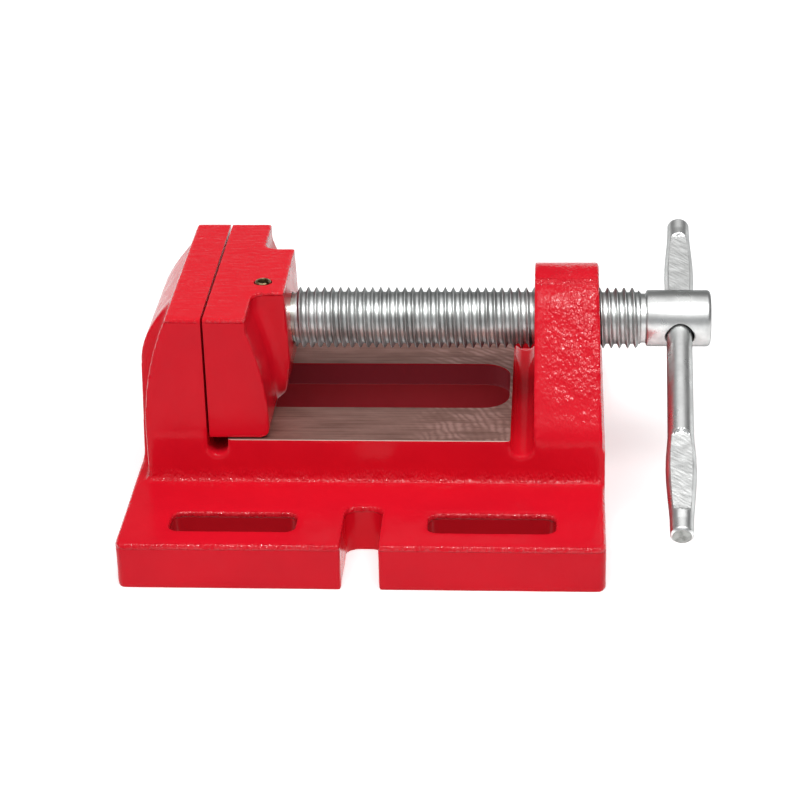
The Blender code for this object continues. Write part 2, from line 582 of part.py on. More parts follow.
def make_lead_screw(material):
    """The screw: nose with its pin groove, thread, and head with the hole for the tommy bar."""
    groove_half = PIN_RADIUS + SEAT_GAP
    nose = turned("lead_screw", [
        (NOSE_START, NOSE_RADIUS - NOSE_END_CHAMFER), (NOSE_START + NOSE_END_CHAMFER, NOSE_RADIUS),
        (PIN_X - groove_half, NOSE_RADIUS), (PIN_X - groove_half, PIN_GROOVE_RADIUS),
        (PIN_X + groove_half, PIN_GROOVE_RADIUS), (PIN_X + groove_half, NOSE_RADIUS),
        (THREAD_START + THREAD_PITCH / 2, NOSE_RADIUS),
    ])
    thread = threaded_rod("thread", -2, THREAD_TURNS + 2, 0.0)
    # The thread is trimmed by a blank with chamfered ends, which start between nose and root radius.
    end_radius = (NOSE_RADIUS + ROOT_RADIUS) / 2
    over_radius = THREAD_RADIUS + THREAD_DEPTH / 2
    chamfer = over_radius - end_radius
    blank = turned("blank", [
        (THREAD_START, end_radius), (THREAD_START + chamfer, over_radius),
        (THREAD_END - chamfer, over_radius), (THREAD_END, end_radius),
    ], THREAD_SEGMENTS * 2)
    thread = combine(thread, blank, "INTERSECT")
    head = turned("head", [
        (THREAD_END - THREAD_PITCH / 2, NOSE_RADIUS), (HEAD_START, NOSE_RADIUS),
        (HEAD_START, SCREW_HEAD_RADIUS - SCREW_HEAD_EDGE / 2),
        (HEAD_START + SCREW_HEAD_EDGE / 2, SCREW_HEAD_RADIUS),
        (HEAD_END - SCREW_HEAD_EDGE, SCREW_HEAD_RADIUS),
        (HEAD_END - SCREW_HEAD_EDGE / 4, SCREW_HEAD_RADIUS - SCREW_HEAD_EDGE / 3),
        (HEAD_END, SCREW_HEAD_RADIUS - SCREW_HEAD_EDGE),
    ])
    screw = combine(nose, thread, "UNION")
    screw = combine(screw, head, "UNION")
    along = Vector((0, -math.cos(HANDLE_TILT), -math.sin(HANDLE_TILT)))
    reach = SCREW_HEAD_RADIUS + CUT_OVERRUN
    start = Vector((HANDLE_X, 0, SCREW_HEIGHT)) - along * reach
    hole = cylinder("handle_hole", HANDLE_HOLE_RADIUS, start, along, 2 * reach)
    screw = combine(screw, hole, "DIFFERENCE")
    return dressed(screw, material)


def make_tommy_bar(material):
    """The sliding bar: a round rod with a long hammered paddle near each of its round tips."""
    # Shares of the paddle's length, from the bar's tip, with shares of the way from the round tip or
    # the round rod to the full paddle: first of the half width, then of the half thickness.
    station_shares = [
        (0.17, "tip", 0.12, 0.0), (0.21, "tip", 0.2, 0.8), (0.25, "tip", 0.28, 1.0), (0.4, "tip", 0.64, 1.0),
        (0.53, "tip", 0.9, 1.0), (0.66, "tip", 1.0, 1.0), (0.79, "rod", 0.8, 1.0), (0.91, "rod", 0.3, 1.0),
        (0.97, "rod", 0.08, 0.85), (1.0, "rod", 0.0, 0.0),
    ]
    tip_face = HANDLE_TIP_RADIUS - HANDLE_TIP_CHAMFER
    stations = [(0.0, tip_face, tip_face, 0.0), (HANDLE_TIP_CHAMFER, HANDLE_TIP_RADIUS, HANDLE_TIP_RADIUS, 0.0)]
    for share, towards, width_share, flat_share in station_shares:
        side = HANDLE_TIP_RADIUS if towards == "tip" else HANDLE_RADIUS
        width = side + (PADDLE_HALF_WIDTH - side) * width_share
        thickness = side + (PADDLE_HALF_THICKNESS - side) * flat_share
        stations.append((PADDLE_LENGTH * share, width, thickness, flat_share))
    stations += [(HANDLE_LENGTH - along, *section) for along, *section in reversed(stations)]

    mesh = bpy.data.meshes.new("tommy_bar")
    work = bmesh.new()
    rings = []
    count = ROUND_SEGMENTS // 2
    for along, width, thickness, flat_share in stations:
        # Round where the bar is round, squarish where it is a paddle.
        power = 1.0 - flat_share / 2
        ring = []
        for i in range(count):
            angle = 2 * math.pi * (i + 1 / 2) / count
            across, up = math.cos(angle), math.sin(angle)
            ring.append(work.verts.new((
                math.copysign(abs(across) ** power, across) * width,
                math.copysign(abs(up) ** power, up) * thickness,
                along,
            )))
        rings.append(ring)
    for ring, after in zip(rings, rings[1:]):
        for i in range(count):
            j = (i + 1) % count
            work.faces.new((ring[i], ring[j], after[j], after[i]))
    work.faces.new(rings[0][::-1])
    work.faces.new(rings[-1])
    bmesh.ops.recalc_face_normals(work, faces=work.faces)
    work.to_mesh(mesh)
    work.free()
    # The bar's own Z runs from its upper end to its lower one, and its X lies almost along the screw.
    down = Vector((0, -math.cos(HANDLE_TILT), -math.sin(HANDLE_TILT)))
    along = (down * math.cos(HANDLE_SKEW) - Vector((1, 0, 0)) * math.sin(HANDLE_SKEW)).normalized()
    across = (Vector((1, 0, 0)) - along * along.x).normalized()
    up = along.cross(across)
    turn = Matrix((across, up, along)).transposed().to_4x4()
    mesh.transform(Matrix.Translation((0, 0, -HANDLE_UPPER_REACH)))
    bar = link(mesh, "tommy_bar")
    bar.matrix_world = Matrix.Translation((HANDLE_X, 0, SCREW_HEIGHT)) @ turn
    return dressed(bar, material)


def make_retaining_pin(material):
    """The slit spring pin beside the screw's nose, which sits in the nose's groove."""
    half_slit = math.degrees(math.asin(PIN_SLIT_WIDTH / 2 / PIN_RADIUS))
    turn_to_slit = -45
    steps = ROUND_SEGMENTS // 2
    outer = arc((PIN_X, PIN_Y), PIN_RADIUS, turn_to_slit + half_slit, turn_to_slit + 360 - half_slit, steps)
    inner = arc((PIN_X, PIN_Y), PIN_RADIUS - PIN_WALL, turn_to_slit + half_slit, turn_to_slit + 360 - half_slit, steps)
    pin = extruded("retaining_pin", "XY", outer + inner[::-1], PIN_TOP - PIN_LENGTH, PIN_TOP)
    return dressed(pin, material)


def make_keeper_plate(material):
    """The plate bolted under the guide tongue, which keeps the jaw down on the ways."""
    half_length, half_width = KEEPER_LENGTH / 2, KEEPER_WIDTH / 2
    outline = rounded_box_outline(
        KEEPER_X - half_length, KEEPER_X + half_length, -half_width, half_width,
        KEEPER_CORNER_RADIUS, KEEPER_CORNER_RADIUS)
    plate = extruded("keeper_plate", "XY", outline, KEEPER_TOP - KEEPER_THICKNESS, KEEPER_TOP)
    for side in (-1, 1):
        foot = (BOLT_X, side * BOLT_SPACING / 2, KEEPER_TOP - KEEPER_THICKNESS - CUT_OVERRUN)
        depth = KEEPER_THICKNESS + 2 * CUT_OVERRUN
        hole = cylinder("plate_hole", BOLT_RADIUS + SEAT_GAP, foot, (0, 0, 1), depth, ROUND_SEGMENTS // 2)
        plate = combine(plate, hole, "DIFFERENCE")
    return dressed(plate, material)


def make_keeper_bolt(name, side, material):
    """One hexagon bolt of the keeper plate."""
    middle_y = side * BOLT_SPACING / 2
    corner = BOLT_HEAD_FLATS / math.sqrt(3)
    outline = arc((BOLT_X, middle_y), corner, 30, 330, 5)
    head = extruded(name, "XY", outline, BOLT_HEAD_TOP - BOLT_HEAD_HEIGHT, BOLT_HEAD_TOP)
    head = round_edges(head, BOLT_HEAD_CHAMFER, segments=1, angle=80.0)
    shank_start = (BOLT_X, middle_y, BOLT_HEAD_TOP - BOLT_HEAD_HEIGHT / 2)
    shank_length = WAY_UNDERSIDE + BOLT_GRIP - shank_start[2]
    shank = cylinder("shank", BOLT_RADIUS, shank_start, (0, 0, 1), shank_length, ROUND_SEGMENTS // 2)
    return dressed(combine(head, shank, "UNION"), material)


def make_spring_washer(name, side, material):
    """One split spring washer under a keeper bolt's head."""
    middle = (BOLT_X, side * BOLT_SPACING / 2)
    half_split = math.degrees(math.asin(WASHER_SPLIT_WIDTH / 2 / BOLT_RADIUS))
    steps = ROUND_SEGMENTS * 3 // 4
    outer = arc(middle, WASHER_RADIUS, half_split, 360 - half_split, steps)
    inner = arc(middle, BOLT_RADIUS + SEAT_GAP, half_split, 360 - half_split, steps)
    washer = extruded(name, "XY", outer + inner[::-1], WASHER_TOP - WASHER_THICKNESS, WASHER_TOP)
    return dressed(washer, material)


def main():
    for existing in list(bpy.data.objects):
        bpy.data.objects.remove(existing)
    parts = bpy.data.collections.new("drill_press_vise")
    bpy.context.scene.collection.children.link(parts)

    make_vise_body(make_material("red_enamel_body", "dc1f2c", 0.0, 0.3))
    make_movable_jaw(make_material("red_enamel_jaw", "dc1f2c", 0.0, 0.3))
    make_lead_screw(make_material("zinc_screw", "b9bbb8", 1.0, 0.3))
    make_tommy_bar(make_material("zinc_bar", "b4b5b3", 1.0, 0.4))
    make_retaining_pin(make_material("pin_steel", "8a7a5c", 1.0, 0.4))
    make_keeper_plate(make_material("plate_steel", "8f8f8c", 1.0, 0.45))
    for word, side in (("front", -1), ("back", 1)):
        make_keeper_bolt("keeper_bolt_" + word, side, make_material("bolt_zinc_" + word, "b0b1ad", 1.0, 0.35))
        make_spring_washer("spring_washer_" + word, side, make_material("washer_" + word, "6f6f6c", 1.0, 0.4))


if __name__ == "__main__":
    main()
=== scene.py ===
"""The look of a drill press vise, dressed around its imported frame.

Metres, in the frame of the CAD: X along the screw from the fixed jaw to the handle, -Y the front,
+Z up, with the origin under the fixed jaw's gripping face.
"""

import logging
import math
from dataclasses import dataclass
from enum import Enum
from typing import Callable, Sequence

import bmesh
import bpy
import numpy as np
from mathutils import Matrix, Vector, noise


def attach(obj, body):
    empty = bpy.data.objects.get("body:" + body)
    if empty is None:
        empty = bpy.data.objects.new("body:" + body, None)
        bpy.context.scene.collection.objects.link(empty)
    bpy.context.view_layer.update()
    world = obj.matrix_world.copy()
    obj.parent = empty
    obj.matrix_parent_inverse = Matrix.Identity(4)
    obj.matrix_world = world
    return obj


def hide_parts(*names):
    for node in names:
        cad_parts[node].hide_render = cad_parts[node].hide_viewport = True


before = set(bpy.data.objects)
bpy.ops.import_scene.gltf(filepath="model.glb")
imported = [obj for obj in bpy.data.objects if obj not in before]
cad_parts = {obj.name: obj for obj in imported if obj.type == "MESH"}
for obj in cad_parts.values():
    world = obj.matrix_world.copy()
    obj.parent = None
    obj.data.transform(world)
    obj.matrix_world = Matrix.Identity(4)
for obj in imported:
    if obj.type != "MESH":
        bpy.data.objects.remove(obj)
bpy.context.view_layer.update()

log = logging.getLogger("vise")
MM = 0.001
Point = tuple[float, float]
Point3 = tuple[float, float, float]
Inputs = dict[str | int, object]


# Sizes shared by several pieces


@dataclass(frozen=True)
class Layout:
    """Places and sizes that more than one piece of the vise follows, as in the CAD.

    The places follow from the sizes above them, so a size is changed here and not where a Layout is made.
    """

    base_length: float = 0.145
    base_width: float = 0.158
    grip_face_inset: float = 0.0233
    flange_height: float = 0.015
    way_height: float = 0.029
    way_thickness: float = 0.008
    body_width: float = 0.078
    jaw_top_height: float = 0.069
    jaw_width: float = 0.076
    lug_thickness: float = 0.0218
    groove_width: float = 0.0071
    screw_height: float = 0.0527
    pitch: float = 0.00254
    thread_radius: float = 0.009525
    nose_radius: float = 0.0077
    nose_length_in_jaw: float = 0.0178
    rest_opening: float = 0.001
    boss_reach: float = 0.024
    nose_show: float = 0.0012
    thread_turns: int = 42
    neck_length: float = 0.0016
    head_length: float = 0.02
    hole_end_distance: float = 0.0096
    hole_radius: float = 0.0045
    handle_tilt: float = math.radians(18.0)
    handle_skew: float = math.radians(1.3)
    pin_radius: float = 0.0025
    pin_distance: float = 0.015
    pin_groove_depth: float = 0.0011
    seat_gap: float = 0.0003
    grip_stock: float = 0.00015
    thread_gap: float = 0.00045

    # Ends and middle of the base, face of the lug that looks at the jaws, and the groove at the lug's foot
    base_start: float = -grip_face_inset
    base_end: float = base_start + base_length
    base_middle: float = (base_start + base_end) / 2
    lug_start: float = base_end - lug_thickness
    end_groove_start: float = lug_start - groove_width

    # Undersides of the ways and of the sliding jaw, which is just clear of them
    way_underside: float = way_height - way_thickness
    jaw_seat: float = way_height + seat_gap

    # Along the screw: end of the boss, the screw's blind end, thread, head, and middle of its cross hole
    boss_end: float = rest_opening + boss_reach
    nose_start: float = boss_end - nose_length_in_jaw
    thread_start: float = boss_end + nose_show
    thread_end: float = thread_start + thread_turns * pitch
    head_start: float = thread_end + neck_length
    head_end: float = head_start + head_length
    handle_x: float = head_end - hole_end_distance

    # Middle of the spring pin, to the front of the nose
    pin_x: float = rest_opening + pin_distance
    pin_y: float = -(nose_radius - pin_groove_depth + seat_gap + pin_radius)

    @property
    def hole_down(self) -> Vector:
        """Direction of the cross hole, down and to the front."""
        return Vector((0, -math.cos(self.handle_tilt), -math.sin(self.handle_tilt)))

    @property
    def bar_down(self) -> Vector:
        """Direction of the tommy bar, which leans a little in its hole, from its upper end down."""
        lean = Vector((1, 0, 0)) * math.sin(self.handle_skew)
        return (self.hole_down * math.cos(self.handle_skew) - lean).normalized()


LAYOUT = Layout()


# Mesh tools


class Plane(Enum):
    """Plane that an outline is drawn in, as the axes of its two coordinates and of its thickness."""

    PLAN = (0, 1, 2)
    SIDE = (0, 2, 1)
    END = (1, 2, 0)


class Operation(Enum):
    """What a Boolean does with its tool."""

    JOIN = "UNION"
    CUT = "DIFFERENCE"
    KEEP = "INTERSECT"


def link(mesh: bpy.types.Mesh, name: str) -> bpy.types.Object:
    """Put a mesh into the scene as an object.

    Args:
        mesh: The mesh to show.
        name: Name of the new object.

    Returns:
        The new object.
    """
    piece = bpy.data.objects.new(name, mesh)
    bpy.context.scene.collection.objects.link(piece)
    return piece


def bake(piece: bpy.types.Object) -> bpy.types.Object:
    """Replace a piece's mesh by what its modifiers and its own place make of it.

    Args:
        piece: The object whose modifiers are applied. It is removed.

    Returns:
        A new object of the same name, at the origin.
    """
    bpy.context.view_layer.update()
    graph = bpy.context.evaluated_depsgraph_get()
    mesh = bpy.data.meshes.new_from_object(piece.evaluated_get(graph))
    mesh.transform(piece.matrix_world)
    name, old_mesh = piece.name, piece.data
    bpy.data.objects.remove(piece)
    if old_mesh.users == 0:
        bpy.data.meshes.remove(old_mesh)
    return link(mesh, name)


def combine(
    piece: bpy.types.Object, operation: Operation, *tools: bpy.types.Object, solver: str = "EXACT"
) -> bpy.types.Object:
    """Join tools to a piece one by one, cut them out of it, or keep what it shares with them.

    Args:
        piece: The object to work on.
        operation: What to do with each tool.
        *tools: The other solids. They are removed.
        solver: Blender's name of the solver.

    Returns:
        The new piece.
    """
    for tool in tools:
        modifier = piece.modifiers.new("combine", "BOOLEAN")
        modifier.operation = operation.value
        modifier.solver = solver
        modifier.object = tool
        piece = bake(piece)
        bpy.data.objects.remove(tool)
    return piece


def arc(centre: Point, radius: float, start: float, end: float, steps: int = 8) -> list[Point]:
    """Points of an arc.

    Args:
        centre: Middle of the arc.
        radius: Its radius.
        start: First angle, in degrees.
        end: Last angle, in degrees.
        steps: Number of chords.

    Returns:
        The points in order.
    """
    angles = [math.radians(start + (end - start) * i / steps) for i in range(steps + 1)]
    return [(centre[0] + radius * math.cos(a), centre[1] + radius * math.sin(a)) for a in angles]


def back_curve(foot: Point, top: Point, steps: int = 16) -> list[Point]:
    """Points of a jaw's round back: an arc that starts upright at its foot and ends at its top.

    Args:
        foot: Lower end of the arc.
        top: Upper end of the arc.
        steps: Number of chords.

    Returns:
        The points from foot to top.
    """
    run, rise = top[0] - foot[0], top[1] - foot[1]
    radius = (run * run + rise * rise) / (2 * abs(run))
    side = math.copysign(1.0, run)
    sweep = math.asin(rise / radius)
    angles = [sweep * i / steps for i in range(steps + 1)]
    return [(foot[0] + side * radius * (1 - math.cos(a)), foot[1] + radius * math.sin(a)) for a in angles]


def rounded_rectangle(low: Point, high: Point, radius: float, high_radius: float | None = None) -> list[Point]:
    """Outline of a rectangle with round corners.

    Args:
        low: Lowest corner.
        high: Highest corner.
        radius: Radius of the corners.
        high_radius: Radius of the two corners at the high end of the first axis, where it differs.

    Returns:
        The points, counterclockwise.
    """
    far = radius if high_radius is None else high_radius
    return (
        arc((high[0] - far, low[1] + far), far, -90, 0) + arc((high[0] - far, high[1] - far), far, 0, 90)
        + arc((low[0] + radius, high[1] - radius), radius, 90, 180)
        + arc((low[0] + radius, low[1] + radius), radius, 180, 270)
    )


def bezier(start: Point, pull: Point, catch: Point, end: Point, steps: int = 16) -> list[Point]:
    """Points of a smooth curve between two places.

    Args:
        start: First point.
        pull: Point that the curve leaves towards.
        catch: Point that it comes in from.
        end: Last point.
        steps: Number of chords.

    Returns:
        The points in order.
    """
    shares = np.linspace(0.0, 1.0, steps + 1)[:, None]
    rest = 1 - shares
    points = rest**3 * start + 3 * rest**2 * shares * pull + 3 * rest * shares**2 * catch + shares**3 * end
    return [(float(u), float(v)) for u, v in points]


def clamped(share: float) -> float:
    """Keep a share between 0 and 1."""
    return min(1.0, max(0.0, share))


def solid_of(work: bmesh.types.BMesh, name: str) -> bpy.types.Object:
    """Turn a closed work mesh into an object, with its faces turned outwards.

    Args:
        work: The work mesh. It is freed.
        name: Name of the new object.

    Returns:
        The solid.
    """
    bmesh.ops.recalc_face_normals(work, faces=work.faces)
    mesh = bpy.data.meshes.new(name)
    work.to_mesh(mesh)
    work.free()
    return link(mesh, name)


def stack(name: str, rings: Sequence[Sequence[Point3]]) -> bpy.types.Object:
    """Skin a stack of closed rings, all with the same number of points, and close its two ends.

    Args:
        name: Name of the new object.
        rings: The rings in order.

    Returns:
        The solid.
    """
    work = bmesh.new()
    loops = [[work.verts.new(point) for point in ring] for ring in rings]
    for loop, after in zip(loops, loops[1:]):
        for i in range(len(loop)):
            j = (i + 1) % len(loop)
            work.faces.new((loop[i], loop[j], after[j], after[i]))
    work.faces.new(loops[0])
    work.faces.new(loops[-1])
    bmesh.ops.remove_doubles(work, verts=work.verts, dist=0.001 * MM)
    return solid_of(work, name)


def prism(name: str, plane: Plane, outline: Sequence[Point], low: float, high: float) -> bpy.types.Object:
    """Extrude a closed outline across its plane.

    Args:
        name: Name of the new object.
        plane: The plane of the outline.
        outline: Its points.
        low: Where the solid starts across the plane.
        high: Where it ends.

    Returns:
        The solid.
    """
    order = np.argsort(plane.value)
    return stack(name, [[tuple(np.array((*point, level))[order]) for point in outline] for level in (low, high)])


def turned(
    name: str, profile: Sequence[Point], axis_start: Vector, axis: Vector, segments: int = 64
) -> bpy.types.Object:
    """Turn a profile about an axis, with closed ends.

    Args:
        name: Name of the new object.
        profile: Points of distance along the axis and radius.
        axis_start: Point that the distances are counted from.
        axis: Direction of the axis.
        segments: Faces around the axis.

    Returns:
        The solid.
    """
    turn = Vector((0, 0, 1)).rotation_difference(axis).to_matrix()
    angles = [math.tau * i / segments for i in range(segments)]
    return stack(name, [
        [axis_start + turn @ Vector((radius * math.cos(a), radius * math.sin(a), along)) for a in angles]
        for along, radius in profile])


def sand_cast(piece: bpy.types.Object, voxel: float, rounds: int, lump: float, lump_size: float) -> bpy.types.Object:
    """Give a solid the soft edges and the uneven skin of a sand casting.

    Args:
        piece: The crisp solid.
        voxel: Size of the new mesh's faces.
        rounds: How often it is smoothed. More rounds give larger edge radii.
        lump: Height of the uneven skin.
        lump_size: Distance between its lumps.

    Returns:
        The cast piece.
    """
    remesh = piece.modifiers.new("sand", "REMESH")
    remesh.mode = "VOXEL"
    remesh.voxel_size = voxel
    smooth = piece.modifiers.new("soften", "SMOOTH")
    smooth.factor = 0.5
    smooth.iterations = rounds
    clouds = bpy.data.textures.new(piece.name + "_skin", "CLOUDS")
    clouds.noise_scale = lump_size
    clouds.noise_depth = 2
    skin = piece.modifiers.new("skin", "DISPLACE")
    skin.texture = clouds
    skin.texture_coords = "LOCAL"
    skin.strength = lump
    skin.mid_level = 0.5
    return bake(piece)


def smooth_shaded(piece: bpy.types.Object, sharp_angle: float = 38.0) -> None:
    """Shade a piece smoothly, with hard edges where faces meet at more than an angle, in degrees."""
    piece.data.shade_smooth()
    piece.data.set_sharp_from_angle(angle=math.radians(sharp_angle))


def paint_faces(piece: bpy.types.Object, slot: int, wanted: Callable[[np.ndarray, np.ndarray], np.ndarray]) -> None:
    """Give a material slot to the faces whose middle and normal pass a test.

    Args:
        piece: The object.
        slot: Index of the slot.
        wanted: Test of all middles and normals, as arrays of three columns.
    """
    faces = piece.data.polygons
    count = len(faces)
    middles, normals, slots = np.empty(count * 3), np.empty(count * 3), np.empty(count, dtype=np.int32)
    faces.foreach_get("center", middles)
    faces.foreach_get("normal", normals)
    faces.foreach_get("material_index", slots)
    chosen = wanted(middles.reshape(-1, 3), normals.reshape(-1, 3))
    slots[chosen] = slot
    faces.foreach_set("material_index", slots)


def give_materials(piece: bpy.types.Object, *materials: bpy.types.Material) -> None:
    """Give a piece its materials, with the first one on all its faces.

    Args:
        piece: The object.
        *materials: The materials, in the order of their slots.
    """
    piece.data.materials.clear()
    for material in materials:
        piece.data.materials.append(material)
    paint_faces(piece, 0, lambda middles, normals: np.full(len(middles), True))


# Finishes


def linear(hex_colour: str) -> tuple[float, float, float, float]:
    """Turn an sRGB colour into linear RGBA.

    Args:
        hex_colour: The colour, such as 'D8202C'.

    Returns:
        The four channels, from 0 to 1.
    """
    channels = [int(hex_colour[i:i + 2], 16) / 255 for i in (0, 2, 4)]
    values = [c / 12.92 if c <= 0.04045 else ((c + 0.055) / 1.055) ** 2.4 for c in channels]
    return (*values, 1.0)


def per_metre(*spacings_mm: float) -> float | tuple[float, ...]:
    """Turn the spacing of a pattern in millimetres, or one for each axis, into a texture scale."""
    scales = tuple(1000.0 / spacing for spacing in spacings_mm)
    return scales if len(scales) > 1 else scales[0]


def feed(tree: bpy.types.NodeTree, node: bpy.types.Node, inputs: Inputs) -> None:
    """Give a node's inputs their values or links.

    Args:
        tree: The tree of the node.
        node: The node.
        inputs: Its inputs by name or number, each with a value or the socket that feeds it.
    """
    for key, value in inputs.items():
        if isinstance(value, bpy.types.NodeSocket):
            tree.links.new(value, node.inputs[key])
        else:
            node.inputs[key].default_value = value


def add(
    tree: bpy.types.NodeTree, kind: str, inputs: Inputs | None = None, output: str | int = 0,
    stops: dict[float, str] | None = None, **settings: object,
) -> bpy.types.NodeSocket:
    """Add a node with its settings and links.

    Args:
        tree: The tree to add it to.
        kind: Blender's name of the node type, without its prefix.
        inputs: Its inputs by name or number, each with a value or the socket that feeds it.
        output: Name or number of the output that is wanted.
        stops: Hex colours by place, where the node is a colour ramp.
        **settings: Attributes of the node.

    Returns:
        The output, whose node attribute is the new node.
    """
    node = tree.nodes.new("ShaderNode" + kind)
    for key, value in settings.items():
        setattr(node, key, value)
    feed(tree, node, inputs or {})
    if stops:
        elements = node.color_ramp.elements
        for _ in range(len(stops) - len(elements)):
            elements.new(0.5)
        for element, (place, hex_colour) in zip(elements, sorted(stops.items())):
            element.position = place
            element.color = linear(hex_colour)
    return node.outputs[output]


class Axis(Enum):
    """An axis of the part's frame, by its number."""

    X = 0
    Y = 1
    Z = 2


@dataclass(frozen=True)
class Limit:
    """One bound of a region of a surface, in millimetres along an axis or away from a middle on it."""

    axis: Axis
    outside: float
    inside: float
    middle: float | None = None
    low: float = 0.0
    high: float = 1.0
    smooth: bool = False


Region = tuple[Limit, ...]


class Coating:
    """A material under way: its node tree, its shader, and the place on the object in metres."""

    def __init__(self, name: str) -> None:
        """Start the material.

        Args:
            name: Name of the material, after what it is and how it was made.
        """
        self.material = bpy.data.materials.new(name)
        self.material.use_nodes = True
        self.tree = self.material.node_tree
        self.shader = self.tree.nodes["Principled BSDF"]
        self.place = add(self.tree, "TexCoord", output="Object")
        self.axes = add(self.tree, "SeparateXYZ", {"Vector": self.place}).node.outputs

    def region(self, limits: Region) -> bpy.types.NodeSocket:
        """Find how far each place lies inside a region.

        Args:
            limits: The bounds, each of which goes from its low level outside to its high level inside.

        Returns:
            The product of all the levels.
        """
        inside = None
        for limit in limits:
            along = self.axes[limit.axis.value]
            if limit.middle is not None:
                along = add(self.tree, "Math", {0: along, 1: limit.middle * MM}, operation="SUBTRACT")
                along = add(self.tree, "Math", {0: along}, operation="ABSOLUTE")
            level = add(self.tree, "MapRange", {
                "Value": along, "From Min": limit.outside * MM, "From Max": limit.inside * MM,
                "To Min": limit.low, "To Max": limit.high},
                interpolation_type="SMOOTHSTEP" if limit.smooth else "LINEAR")
            if inside is not None:
                level = add(self.tree, "Math", {0: inside, 1: level}, operation="MULTIPLY")
            inside = level
        return inside

    def finish(self, inputs: Inputs) -> bpy.types.Material:
        """Feed the shader its inputs and hand over the material."""
        feed(self.tree, self.shader, inputs)
        return self.material


